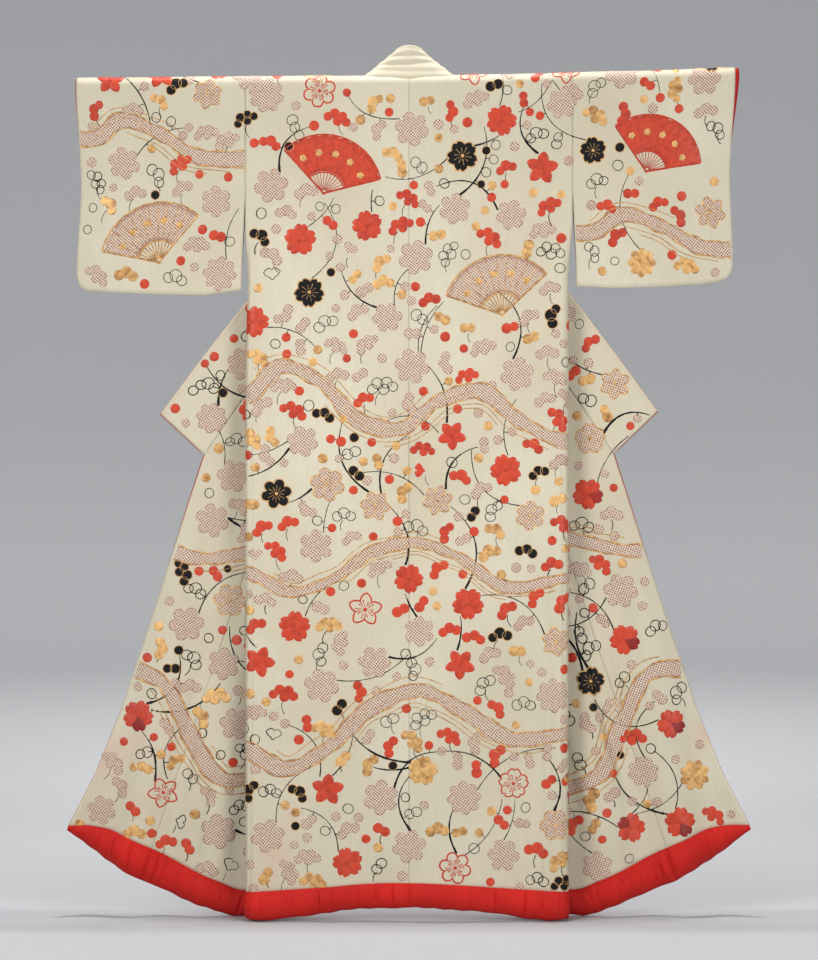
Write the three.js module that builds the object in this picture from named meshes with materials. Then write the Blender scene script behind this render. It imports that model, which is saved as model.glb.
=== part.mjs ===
// A padded silk kosode, spread open on a display rod and seen from its back: two body
// lengths that pass over the shoulders, two sleeves, two overlap panels, a collar band,
// a red lining behind each of them and a red padded roll along the hem.
// The fronts are turned back behind the body, so that they fan out at both sides.
// Millimetres. +Z up, -Y the way the garment's back faces, X across it.
// The origin is on the shoulder line, at the centre of the neck.
import * as THREE from "three";

// Cut sizes of the cloth
const PANEL = 326; // a body length's width, from side seam to centre back seam
const LENGTH = 1636; // shoulder line to hem at the side seam
const HEM_RISE_AT_CENTRE = 15;
const NECK_U = 237; // neck point, measured from the side seam
const NECK_DROP = 15; // neck hole below the shoulder line at the back
const COLLAR_RUN = 0.282; // the collar seam's step across the cloth for each step down
const COLLAR_END = 857; // where the collar stops, down the front
const COLLAR_WIDTH_TOP = 66;
const COLLAR_WIDTH_END = 122;
const COLLAR_END_SLANT = 0.15; // extra slant of the band's end cut, radians
const OVERLAP_HEM = 173; // overlap panel's width at the hem
const OVERLAP_POINT = 16; // extra length at the overlap's corner
const ARMHOLE = 230; // sleeve seam's length down from the shoulder
const SIDE_OPEN = 430; // the side seam starts here

// How it hangs
const ROD = 16; // radius that the shoulders and sleeves pass over
const TURN_HEM = 18; // radius of the turn at the side seam, at the hem
const FOLD_ANGLE = THREE.MathUtils.degToRad(9.3); // the fold's slant from the cloth's grain
const FOLD_RADIUS_TOP = 4;
const FOLD_RADIUS_HEM = 18;
const FOLD_OPENS_BY = 500; // length along the fold in which it gets half as wide again
const LEAN = 24; // how far the hem stands behind the shoulders
const WAVE_LENGTH = 150; // of the soft folds in the fanned fronts
const WAVE_DEPTH = 11;

// Sleeves
const SLEEVE_GAP = 9; // between sleeve and body at the sleeve's foot
const CUFF_OPEN = 240; // wrist opening, down from the shoulder
const SLEEVE_FOOT = 2.4; // half of what is left between the walls at the foot
const SLEEVE_CORNER = 26; // radius of the rounded corner

// Walls: distances from the plane between cloth and lining
const CLOTH = [0, 1.2];
const LINING = [-1.5, -0.5];
const COLLAR_CLOTH = [0, 2.2];
const COLLAR_LINING = [-1.9, -0.9];
const SEAM = 0.15; // each piece stops this far from its seam line
const HEM_SEAM = 0.4;
const PIPING = 2.5; // lining shown past the overlap's edge and the collar's end

// Padded roll along the hem
const ROLL_HEIGHT_BACK = 57;
const ROLL_BELLY = 12.5; // half of its thickness

// The two sides don't hang quite alike. `spread` is how far the side seam is drawn out,
// `reach` and `footReach` where the sleeve ends at its top and its foot, `pull` how far the
// wrist opening is drawn in, `rise` how far its top stands above the neck.
const SIDES = [
  {
    name: "left",
    sign: -1,
    spread: 9,
    foldTopU: 334,
    reach: 664,
    footReach: 664,
    pull: 9,
    rise: -5,
    cuffLining: 1.6,
    foot: [
      { at: 0, drop: 436 },
      { at: 0.22, drop: 446 },
      { at: 0.5, drop: 443 },
      { at: 0.78, drop: 438 },
      { at: 1, drop: 433 },
    ],
  },
  {
    name: "right",
    sign: 1,
    spread: 1,
    foldTopU: 330,
    reach: 651,
    footReach: 647,
    pull: 10,
    rise: 16,
    cuffLining: 8,
    foot: [
      { at: 0, drop: 436 },
      { at: 0.22, drop: 441 },
      { at: 0.5, drop: 442 },
      { at: 0.78, drop: 440 },
      { at: 1, drop: 432 },
    ],
  },
];

// Overlap panel: its width beyond the body length
const OVERLAP_WIDTHS = [
  { down: COLLAR_END, width: 153 },
  { down: 1150, width: 150 },
  { down: 1400, width: 149 },
  { down: 1530, width: 156 },
  { down: LENGTH, width: OVERLAP_HEM },
];

// Front hem, from the side seam to the overlap's corner: where the cloth ends, and how tall
// the padded roll below it is. The hem sags behind the side seam.
const FRONT_HEM = [
  { u: 0, down: LENGTH, roll: 57 },
  { u: 60, down: LENGTH + 18, roll: 54 },
  { u: 135, down: LENGTH + 28, roll: 53 },
  { u: 256, down: LENGTH + 16, roll: 61 },
  { u: PANEL, down: LENGTH + 6, roll: 67 },
  { u: 415, down: LENGTH - 3, roll: 57 },
  { u: 460, down: LENGTH + 3, roll: 36 },
  { u: 490, down: LENGTH + 11, roll: 14 },
  { u: PANEL + OVERLAP_HEM, down: LENGTH + OVERLAP_POINT, roll: 7 },
];

// Soft vertical folds in the back: place across, half width, and the length down at which
// each starts and is fully there
const BACK_FOLDS = [
  { x: -218, half: 78, depth: 8, from: 1000, full: 1500 },
  { x: -84, half: 74, depth: 6, from: 1100, full: 1560 },
  { x: 64, half: 96, depth: -7, from: 1050, full: 1520 },
  { x: 226, half: 76, depth: 8, from: 850, full: 1450 },
];

// Rows down the back and the front, as lengths from the shoulder line. The collar seam
// crosses the front's turned-back fold at about 209, so rows are close together there.
const BACK_ROWS = [1400, 1150, 800, 430, 350, 290, 230, 25, NECK_DROP, 8];
const OVERLAP_TOP = 316;
const FRONT_ROWS = [0, 8, 25, 60, 120, 187, 203, 219, 235, OVERLAP_TOP, 430, 600, COLLAR_END, 1150, 1400, 1530];
const OVERLAP_COLUMNS = [0, 0.25, 0.52, 0.76, 0.92, 1];

const CLOTH_MATERIAL = new THREE.MeshStandardMaterial({ color: "#d9d0b8", roughness: 0.8, metalness: 0 });
const LINING_MATERIAL = new THREE.MeshStandardMaterial({ color: "#c4261f", roughness: 0.6, metalness: 0 });
const ROLL_MATERIAL = new THREE.MeshStandardMaterial({ color: "#d42f26", roughness: 0.55, metalness: 0 });

const { clamp, lerp, smoothstep } = THREE.MathUtils;
const share = (value, from, to) => clamp((value - from) / (to - from), 0, 1);

// A fold is a smooth bump across, which fades in on its way down
function foldDepth(fold, x, down) {
  const across = Math.min(1, Math.abs(x - fold.x) / fold.half);
  return fold.depth * (1 - across * across) ** 2 * smoothstep(down, fold.from, fold.full);
}

// The cloth's path over the rod: y and z at a signed length from the shoulder line
function overRod(s) {
  const down = Math.abs(s);
  const quarter = (ROD * Math.PI) / 2;
  if (down < quarter) return { y: ROD * Math.sin(s / ROD), z: -ROD * (1 - Math.cos(s / ROD)) };
  return { y: Math.sign(s) * ROD, z: -ROD - (down - quarter) };
}

// A value read off a table's rows, straight between them
function along(table, key, value, at) {
  const next = Math.max(1, table.findIndex((row) => row[key] >= at));
  const [a, b] = at > table.at(-1)[key] ? table.slice(-2) : [table[next - 1], table[next]];
  return lerp(a[value], b[value], share(at, a[key], b[key]));
}

const lean = (down) => LEAN * Math.pow(Math.max(down, 0) / LENGTH, 2);
const turnRadius = (down) => lerp(ROD, TURN_HEM, share(down, SIDE_OPEN, LENGTH));
const turnAngle = (down) => (Math.PI / 2) * smoothstep(down, ARMHOLE, SIDE_OPEN);

function foldRadius(length) {
  const opening = Math.sqrt(share(length, 0, LENGTH));
  const early = share(length, 0, FOLD_OPENS_BY);
  return lerp(FOLD_RADIUS_TOP, FOLD_RADIUS_HEM, opening * (0.4 + 0.6 * early));
}

// The shoulder line rises or drops a little towards each cuff
function shoulderRise(side, out, down) {
  return side.rise * Math.pow(share(out, 0, side.reach), 1.5) * (1 - smoothstep(down, 300, 900));
}

// How far a point at u from the side seam stands out, and how far it has turned in
function sideTurn(u, down) {
  const radius = turnRadius(down);
  const arc = radius * turnAngle(down);
  if (u >= arc) return { out: PANEL - u, inward: 0 };
  const angle = (arc - u) / radius;
  return { out: PANEL - arc + radius * Math.sin(angle), inward: radius * (1 - Math.cos(angle)) };
}

// The lower part of the body is drawn out a little towards its sides
const drawnOut = (side, out, down) =>
  out + side.spread * share(out, 0, PANEL) * smoothstep(down, ARMHOLE, SIDE_OPEN + 200);

function backPoint(side, u, s) {
  const down = -s;
  const turned = sideTurn(u, down);
  const hang = overRod(s);
  let y = hang.y - (turnRadius(down) - ROD) - lean(down) + turned.inward;
  const out = drawnOut(side, turned.out, down);
  for (const fold of BACK_FOLDS) y += foldDepth(fold, side.sign * out, down);
  return new THREE.Vector3(side.sign * out, y, hang.z + shoulderRise(side, out, down));
}

// The front is flat cloth mirrored about a slanting fold line, with a round bend there
function frontPoint(side, u, s) {
  const cos = Math.cos(FOLD_ANGLE);
  const sin = Math.sin(FOLD_ANGLE);
  const length = s * cos - (u - side.foldTopU) * sin;
  const past = (u - side.foldTopU) * cos + s * sin;
  const radius = foldRadius(length);
  const half = (Math.PI * radius) / 2;
  let across = past;
  let lift = 0;
  if (past > -half) {
    const angle = Math.min((past + half) / radius, Math.PI);
    across = past < half ? -half + radius * Math.sin(angle) : -past;
    lift = radius * (1 - Math.cos(angle));
  }
  const flatU = side.foldTopU - length * sin + across * cos;
  const down = length * cos + across * sin;
  const turned = lift > 0 ? { out: PANEL - flatU, inward: 0 } : sideTurn(flatU, down);
  const hang = overRod(down);
  const free = smoothstep(past, half, half + 140) * smoothstep(s, 500, LENGTH);
  const wave = WAVE_DEPTH * free * Math.sin(((past - half) / WAVE_LENGTH) * 2 * Math.PI);
  const y = hang.y + (turnRadius(down) - ROD) - lean(down) - turned.inward + lift + wave;
  const out = drawnOut(side, turned.out, down);
  return new THREE.Vector3(side.sign * out, y, hang.z + shoulderRise(side, out, down));
}

const bodyPoint = (side, u, s) => (s < 0 ? backPoint(side, u, s) : frontPoint(side, u, s));

// Outside normal of a surface given as a function of two lengths
function outside(point, side, u, s) {
  const step = 0.4;
  const du = point(side, u + step, s).sub(point(side, u - step, s));
  const ds = point(side, u, s + step).sub(point(side, u, s - step));
  return ds.cross(du).multiplyScalar(side.sign).normalize();
}

const station = (point, side, u, s) => ({ at: point(side, u, s), normal: outside(point, side, u, s) });

// Inner edge of a body length: the centre back seam, the neck hole and the collar seam
function innerEdge(s) {
  if (s <= -NECK_DROP) return PANEL;
  if (s < 0) {
    const open = Math.sqrt(share(s, -NECK_DROP, 0));
    return lerp(PANEL - 26, NECK_U, Math.min(1, open * 1.15));
  }
  return Math.min(PANEL, NECK_U + COLLAR_RUN * s);
}

const overlapEdge = (s) =>
  s <= COLLAR_END ? NECK_U + COLLAR_RUN * s : PANEL + along(OVERLAP_WIDTHS, "down", "width", s);

// Where the cloth ends at the hem
const backHem = (u) => LENGTH - HEM_RISE_AT_CENTRE * smoothstep(u, 0, PANEL);
const frontHem = (u) => along(FRONT_HEM, "u", "down", u);

// Columns across a body length: the side turn, the turned-back fold, and the flats between
function bodyColumns(side, s) {
  const down = Math.abs(s);
  const edge = innerEdge(s) - SEAM;
  const turn = (Math.PI / 2) * turnRadius(down);
  const foldHalf = (foldRadius(s > 0 ? down : 0) * Math.PI * 1.03) / 2;
  const foldU = side.foldTopU - Math.max(s, 0) * Math.tan(FOLD_ANGLE);
  const foldTo = Math.min(foldU + foldHalf, edge - 3);
  const foldFrom = Math.max(Math.min(foldU - foldHalf, foldTo - 8), turn + 3);
  const bent = [0, 1 / 3, 2 / 3, 1].map((k) => lerp(foldFrom, foldTo, k));
  const front = [SEAM, turn / 2, turn, lerp(turn, foldFrom, 0.5), ...bent, lerp(foldTo, edge, 0.4), edge];
  const even = front.map((_, i) => (i < 3 ? front[i] : lerp(turn, edge, (i - 2) / 7)));
  const evenness = smoothstep(-s, 25, ARMHOLE);
  return front.map((u, i) => lerp(u, even[i], evenness));
}

// A closed wall between two offsets of a grid of stations
function wall(rows, [inner, outer]) {
  const across = rows[0].length;
  const down = rows.length;
  const positions = [];
  for (const offset of [outer, inner])
    for (const row of rows)
      for (const { at, normal } of row) positions.push(...at.clone().addScaledVector(normal, offset));
  const corner = (face, r, c) => face * across * down + r * across + c;
  const faces = [];
  const quad = (a, b, c, d) => faces.push(a, b, c, a, c, d);
  for (let r = 0; r < down - 1; r++)
    for (let c = 0; c < across - 1; c++) {
      quad(corner(0, r, c), corner(0, r + 1, c), corner(0, r + 1, c + 1), corner(0, r, c + 1));
      quad(corner(1, r, c), corner(1, r, c + 1), corner(1, r + 1, c + 1), corner(1, r + 1, c));
    }
  for (let c = 0; c < across - 1; c++) {
    quad(corner(0, 0, c), corner(0, 0, c + 1), corner(1, 0, c + 1), corner(1, 0, c));
    quad(corner(0, down - 1, c), corner(1, down - 1, c), corner(1, down - 1, c + 1), corner(0, down - 1, c + 1));
  }
  for (let r = 0; r < down - 1; r++) {
    quad(corner(0, r, 0), corner(1, r, 0), corner(1, r + 1, 0), corner(0, r + 1, 0));
    quad(corner(0, r, across - 1), corner(0, r + 1, across - 1), corner(1, r + 1, across - 1), corner(1, r, across - 1));
  }
  return closedGeometry(positions, faces);
}

// A closed solid through rings of the same number of points
function loft(rings) {
  const sides = rings[0].length;
  const positions = rings.flatMap((ring) => ring.flatMap((p) => [...p]));
  const faces = [];
  for (let r = 0; r < rings.length - 1; r++)
    for (let k = 0; k < sides; k++) {
      const a = r * sides + k;
      const b = r * sides + ((k + 1) % sides);
      faces.push(a, b, b + sides, a, b + sides, a + sides);
    }
  const last = (rings.length - 1) * sides;
  for (let k = 1; k < sides - 1; k++) {
    faces.push(0, k + 1, k);
    faces.push(last, last + k, last + k + 1);
  }
  return closedGeometry(positions, faces);
}

// The faces are turned round if they point inwards, which the enclosed volume's sign tells
function closedGeometry(positions, faces) {
  const vertex = (i) => new THREE.Vector3().fromArray(positions, i * 3);
  let volume = 0;
  for (let i = 0; i < faces.length; i += 3)
    volume += vertex(faces[i]).dot(vertex(faces[i + 1]).cross(vertex(faces[i + 2])));
  if (volume < 0) faces.reverse();
  const geometry = new THREE.BufferGeometry();
  geometry.setAttribute("position", new THREE.Float32BufferAttribute(positions, 3));
  geometry.setIndex(faces);
  return geometry;
}

function bodyRows(side) {
  const back = [LENGTH, ...BACK_ROWS].map((down, i) => {
    const columns = bodyColumns(side, -down);
    return columns.map((u) => station(bodyPoint, side, u, i === 0 ? -backHem(u) : -down));
  });
  const front = [...FRONT_ROWS, LENGTH].map((down) => {
    const columns = bodyColumns(side, down);
    return columns.map((u) => station(bodyPoint, side, u, down === LENGTH ? frontHem(u) : down));
  });
  return [...back, ...front];
}

function overlapRows(side, piping) {
  const rows = [...FRONT_ROWS.filter((down) => down >= OVERLAP_TOP), LENGTH];
  return rows.map((down) => {
    const edge = overlapEdge(down) - SEAM;
    const columns = OVERLAP_COLUMNS.map((k) => lerp(PANEL + SEAM, edge, k));
    if (piping) columns.push(edge + (down > COLLAR_END ? piping : 0.1));
    return columns.map((u) => station(bodyPoint, side, u, down === LENGTH ? frontHem(Math.min(u, edge)) : down));
  });
}

// Collar stations on the front follow the cloth. Round the neck the band stands up and
// leans in: `s` is where its seam is, `edge` its free edge and `facing` its outer side.
const NECK_STATIONS = [
  { s: 25, lift: 1, edge: [19, 25, 4], facing: [0.3, 1, 0.2] },
  { s: 8, lift: 1.2, edge: [28, 21, 24], facing: [0.7, 0.6, 0.5] },
  { s: 0, lift: 1.3, edge: [35, 14, 41], facing: [0.8, 0, 0.6] },
  { s: -8, lift: 1.4, edge: [27, 6, 51], facing: [0.35, -0.9, 0.2] },
  { s: (-8 - NECK_DROP) / 2, lift: 1.2, edge: [15, 0, 58.5], facing: [0.1, -1, 0.1] },
  { s: -NECK_DROP, lift: 1, edge: [0, -3, 61], facing: [0, -1, 0.1] },
];
const NECK_COLUMNS = [0, 0.14, 0.3, 0.46, 0.62, 0.8, 1];

function collarFrontStation(side, s, piping) {
  const seamU = NECK_U + COLLAR_RUN * s;
  const slant = Math.atan(COLLAR_RUN) + COLLAR_END_SLANT * smoothstep(s, 650, COLLAR_END);
  const width = lerp(COLLAR_WIDTH_TOP, COLLAR_WIDTH_END, (s / COLLAR_END) ** 0.7);
  const foldU = side.foldTopU - s * Math.tan(FOLD_ANGLE);
  const half = (foldRadius(s) * Math.PI * 1.05) / 2;
  const foldTo = clamp((foldU + half - seamU) / Math.cos(slant), 7, width - 14);
  const foldFrom = clamp((foldU - half - seamU) / Math.cos(slant), 1.5, foldTo - 4);
  const bend = [0, 1 / 3, 2 / 3, 1].map((k) => lerp(foldFrom, foldTo, k));
  const overBend = smoothstep(s, 160, 209) * (1 - smoothstep(s, 209, 260));
  const places = [0.3 + 0.7 * overBend, ...bend, lerp(foldTo, width, 0.5), width];
  if (piping) places.push(width + piping * 0.4);
  const pastEnd = s === COLLAR_END ? piping : 0;
  return places.map((w) =>
    station(frontPoint, side, seamU + w * Math.cos(slant), s - w * Math.sin(slant) + pastEnd * smoothstep(w, 0, 15)),
  );
}

// The neck seam, as a straight line between the body's rows
function neckSeam(side, s) {
  const at = (row) => bodyPoint(side, row === -NECK_DROP ? PANEL : innerEdge(row), row);
  if (s > -NECK_DROP && s < -8) return at(-8).lerp(at(-NECK_DROP), share(s, -8, -NECK_DROP));
  return at(s);
}

function collarNeckStation(side, { s, lift, edge, facing }, piping) {
  const mirror = new THREE.Vector3(side.sign, 1, 1);
  const seam = neckSeam(side, s);
  const rise = new THREE.Vector3(...edge).multiply(mirror).sub(seam);
  const length = rise.length();
  rise.divideScalar(length);
  const normal = new THREE.Vector3(...facing).multiply(mirror);
  normal.addScaledVector(rise, -normal.dot(rise)).normalize();
  const places = NECK_COLUMNS.map((k) => lerp(lift, length, k));
  if (piping) places.push(length + piping * 0.4);
  return places.map((w) => ({ at: seam.clone().addScaledVector(rise, w), normal }));
}

function collarRows(piping) {
  const fronts = FRONT_ROWS.filter((s) => s >= 60 && s <= COLLAR_END);
  const half = (side) => [
    ...[...fronts].reverse().map((s) => collarFrontStation(side, s, piping)),
    ...NECK_STATIONS.slice(0, -1).map((neck) => collarNeckStation(side, neck, piping)),
  ];
  const [left, right] = SIDES;
  const middle = collarNeckStation(right, NECK_STATIONS.at(-1), piping);
  return [...half(left), middle, ...half(right).reverse()];
}

// Sleeves: a flat bag over the rod, open at the wrist and along the armhole
function sleeveFoot(side, t) {
  const drop = along(side.foot, "at", "drop", t);
  const width = side.reach - PANEL;
  const intoCorner = Math.max(0, SLEEVE_CORNER - (1 - t) * width);
  return drop - (SLEEVE_CORNER - Math.sqrt(SLEEVE_CORNER ** 2 - intoCorner ** 2));
}

function sleevePoint(side, t, s) {
  const down = Math.abs(s);
  const inner = PANEL + SEAM * 2 + SLEEVE_GAP * smoothstep(down, ARMHOLE - 10, SIDE_OPEN);
  const reach = lerp(side.reach, side.footReach, smoothstep(down, ARMHOLE, 400));
  const outer = reach - side.pull * Math.sin(Math.PI * share(down, 20, 400)) ** 2;
  const hang = overRod(s);
  const closeFoot = share(down, ARMHOLE, SIDE_OPEN);
  const closeCuff = smoothstep(down, CUFF_OPEN - 70, CUFF_OPEN + 10) * smoothstep(t, 0.62, 1);
  const halfGap = lerp(1, SLEEVE_FOOT / ROD, Math.max(closeFoot, closeCuff));
  const out = lerp(inner, outer, t);
  return new THREE.Vector3(side.sign * out, hang.y * halfGap, hang.z + shoulderRise(side, out, 0));
}

function sleeveRows(side, cuffShown) {
  const shares = [1, 0.94, 0.76, 0.58, 0.4, 0.15, 0.058, 0.024, 0];
  const signed = [...shares.map((f) => -f), ...shares.slice(0, -1).reverse()];
  const across = [0, 0.22, 0.5, 0.78, 0.935, 0.977, 1];
  if (cuffShown) across.push(2);
  return signed.map((f) =>
    across.map((t) => {
      const s = f * sleeveFoot(side, Math.min(t, 1));
      const { at, normal } = station(sleevePoint, side, Math.min(t, 1), s);
      const open = 1 - share(Math.abs(s), 30, 165);
      if (t > 1) at.x += side.sign * (0.2 + cuffShown * open);
      return { at, normal: normal.negate() };
    }),
  );
}

// The hem roll's rings: a rounded bag hanging from the cloth's edge
const ROLL_SECTION = [
  { down: 0, out: 0.14 },
  { down: 0.16, out: 0.72 },
  { down: 0.5, out: 1 },
  { down: 0.85, out: 0.66 },
  { down: 1, out: 0 },
  { down: 0.85, out: -0.66 },
  { down: 0.5, out: -1 },
  { down: 0.16, out: -0.72 },
  { down: 0, out: -0.14 },
];

function rollRing(side, u, isBack) {
  const edge = isBack ? -backHem(u) : frontHem(u);
  const { at, normal } = station(bodyPoint, side, u, edge);
  const downward = bodyPoint(side, u, edge + (isBack ? -1 : 1)).sub(at).normalize();
  const height = isBack ? ROLL_HEIGHT_BACK : along(FRONT_HEM, "u", "roll", u);
  const belly = ROLL_BELLY * Math.min(1, (height / 50) ** 0.8);
  return ROLL_SECTION.map((p) =>
    at
      .clone()
      .addScaledVector(downward, HEM_SEAM + p.down * height)
      .addScaledVector(normal, p.out * belly - 0.05),
  );
}

function rollPlaces(side, from, to, s) {
  const columns = bodyColumns(side, s).filter((u) => u > from + 1 && u < to - 1);
  return [from + SEAM, ...columns, to - SEAM];
}

const group = new THREE.Group();

function add(name, geometry, material) {
  const mesh = new THREE.Mesh(geometry, material);
  mesh.name = name;
  group.add(mesh);
}

for (const side of SIDES) {
  const body = bodyRows(side);
  add(`body_${side.name}`, wall(body, CLOTH), CLOTH_MATERIAL);
  add(`body_lining_${side.name}`, wall(body, LINING), LINING_MATERIAL);
  add(`overlap_${side.name}`, wall(overlapRows(side, 0), CLOTH), CLOTH_MATERIAL);
  add(`overlap_lining_${side.name}`, wall(overlapRows(side, PIPING), LINING), LINING_MATERIAL);
  add(`sleeve_${side.name}`, wall(sleeveRows(side, 0), CLOTH), CLOTH_MATERIAL);
  add(`sleeve_lining_${side.name}`, wall(sleeveRows(side, side.cuffLining), LINING), LINING_MATERIAL);
  const backRings = rollPlaces(side, 0, PANEL, -LENGTH).map((u) => rollRing(side, u, true));
  add(`hem_back_${side.name}`, loft(backRings), ROLL_MATERIAL);
  const frontRings = rollPlaces(side, 0, PANEL, LENGTH).map((u) => rollRing(side, u, false));
  add(`hem_front_${side.name}`, loft(frontRings), ROLL_MATERIAL);
  const cornerPlaces = OVERLAP_COLUMNS.map((k) => lerp(PANEL + SEAM, PANEL + OVERLAP_HEM - SEAM, k));
  add(`hem_overlap_${side.name}`, loft(cornerPlaces.map((u) => rollRing(side, u, false))), ROLL_MATERIAL);
}
add("collar", wall(collarRows(0), COLLAR_CLOTH), CLOTH_MATERIAL);
add("collar_lining", wall(collarRows(PIPING), COLLAR_LINING), LINING_MATERIAL);

export default group;
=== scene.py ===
"""A padded, embroidered silk kosode, spread from cuff to cuff and seen from its back.

Every surface is a function of two lengths on the flat cut cloth, in millimetres: u runs inwards
from the side seam and s down from the shoulder line, negative on the back and positive on the
front. Sleeves lie at negative u. The row frame is +X across, -Y out of the back, +Z up.
"""
import functools
import math

import bpy
import numpy as np
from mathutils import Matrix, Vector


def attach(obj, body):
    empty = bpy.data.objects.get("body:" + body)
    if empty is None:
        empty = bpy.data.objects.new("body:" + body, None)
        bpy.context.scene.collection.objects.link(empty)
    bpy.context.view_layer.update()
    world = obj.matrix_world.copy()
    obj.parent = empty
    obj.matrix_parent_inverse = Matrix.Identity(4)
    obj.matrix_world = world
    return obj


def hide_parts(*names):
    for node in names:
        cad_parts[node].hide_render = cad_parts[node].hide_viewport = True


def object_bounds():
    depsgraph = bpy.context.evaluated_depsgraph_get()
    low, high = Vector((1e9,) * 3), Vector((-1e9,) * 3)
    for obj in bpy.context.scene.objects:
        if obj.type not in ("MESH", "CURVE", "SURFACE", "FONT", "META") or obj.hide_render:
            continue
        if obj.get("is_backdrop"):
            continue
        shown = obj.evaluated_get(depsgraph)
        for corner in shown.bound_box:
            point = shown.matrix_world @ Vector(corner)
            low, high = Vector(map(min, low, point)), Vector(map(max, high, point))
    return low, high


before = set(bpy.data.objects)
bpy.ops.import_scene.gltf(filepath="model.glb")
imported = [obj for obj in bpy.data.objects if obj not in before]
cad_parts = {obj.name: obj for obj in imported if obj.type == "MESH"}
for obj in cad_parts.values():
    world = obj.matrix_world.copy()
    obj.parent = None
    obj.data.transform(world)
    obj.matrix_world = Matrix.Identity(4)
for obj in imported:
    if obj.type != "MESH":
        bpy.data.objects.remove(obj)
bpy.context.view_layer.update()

MM = 0.001
TAU = 2 * math.pi

# ---------------------------------------------------------------- cut sizes, in millimetres
PANEL = 326
LENGTH = 1636
HEM_RISE_AT_CENTRE = 15
NECK_U = 237
NECK_DROP = 15
COLLAR_RUN = 0.282
COLLAR_END = 857
COLLAR_WIDTHS = (66, 122)
COLLAR_END_SLANT = 0.15
OVERLAP_TOP = 316
ARMHOLE = 230
SIDE_OPEN = 430
ROD = 16
TURN_HEM = 18
FOLD_ANGLE = math.radians(9.3)
FOLD_RADII = (4, 18)
FOLD_OPENS_BY = 500
LEAN = 24
WAVE_LENGTH = 150
WAVE_DEPTH = 11
SLEEVE_GAP = 9
CUFF_OPEN = 240
SLEEVE_FOOT = 2.4
SLEEVE_CORNER = 26
PIPING = 1.9
BODY_CUT = 3272  # the lengths of the cuts, whole
OVERLAP_CUT = 1352
SLEEVE_CUT = 892
COLLAR_CUT = 2050
SLEEVE_LOWEST = 440  # below this, cloth past the side seam is no longer the sleeve's
ROLL_HEIGHT_BACK = 57
ROLL_BELLY = 12.5
SEWN_ON = 1.4  # how far the roll reaches up under the cloth's edge

CLOTH_TOP = 1.1  # the outer cloth's face, above the plane between cloth and lining
COLLAR_TOP = 1.5
LINING_TOP = -0.45
CLOTH_THICK = 1.5
COLLAR_THICK = 1.9
LINING_THICK = 0.7

SIDES = {
    "left": dict(
        name="left", sign=-1, spread=9, fold_top=334, reach=664, foot_reach=664, pull=9, rise=-5,
        cuff=1.6, foot=([0, 0.22, 0.5, 0.78, 1], [436, 446, 443, 438, 433]),
    ),
    "right": dict(
        name="right", sign=1, spread=1, fold_top=330, reach=651, foot_reach=647, pull=10, rise=16,
        cuff=8, foot=([0, 0.22, 0.5, 0.78, 1], [436, 441, 442, 440, 432]),
    ),
}

# Broad folds in the back: place across, half width, depth, where each starts and is full
BACK_FOLDS = [
    (-218, 78, 8, 1000, 1500),
    (-84, 74, 6, 1100, 1560),
    (64, 96, -7, 1050, 1520),
    (226, 76, 8, 850, 1450),
]
OVERLAP_DOWN = [COLLAR_END, 1150, 1400, 1530, LENGTH]
OVERLAP_WIDTH = [153, 150, 149, 156, 173]
OVERLAP_HEM = 173
HEM_U = [0, 60, 135, 256, PANEL, 415, 460, 490, PANEL + OVERLAP_HEM]
HEM_DOWN = [LENGTH + d for d in (0, 4, 30, 18, 6, -3, 3, 11, 16)]
HEM_ROLL = [55, 51, 54, 61, 67, 57, 36, 14, 7]

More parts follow.
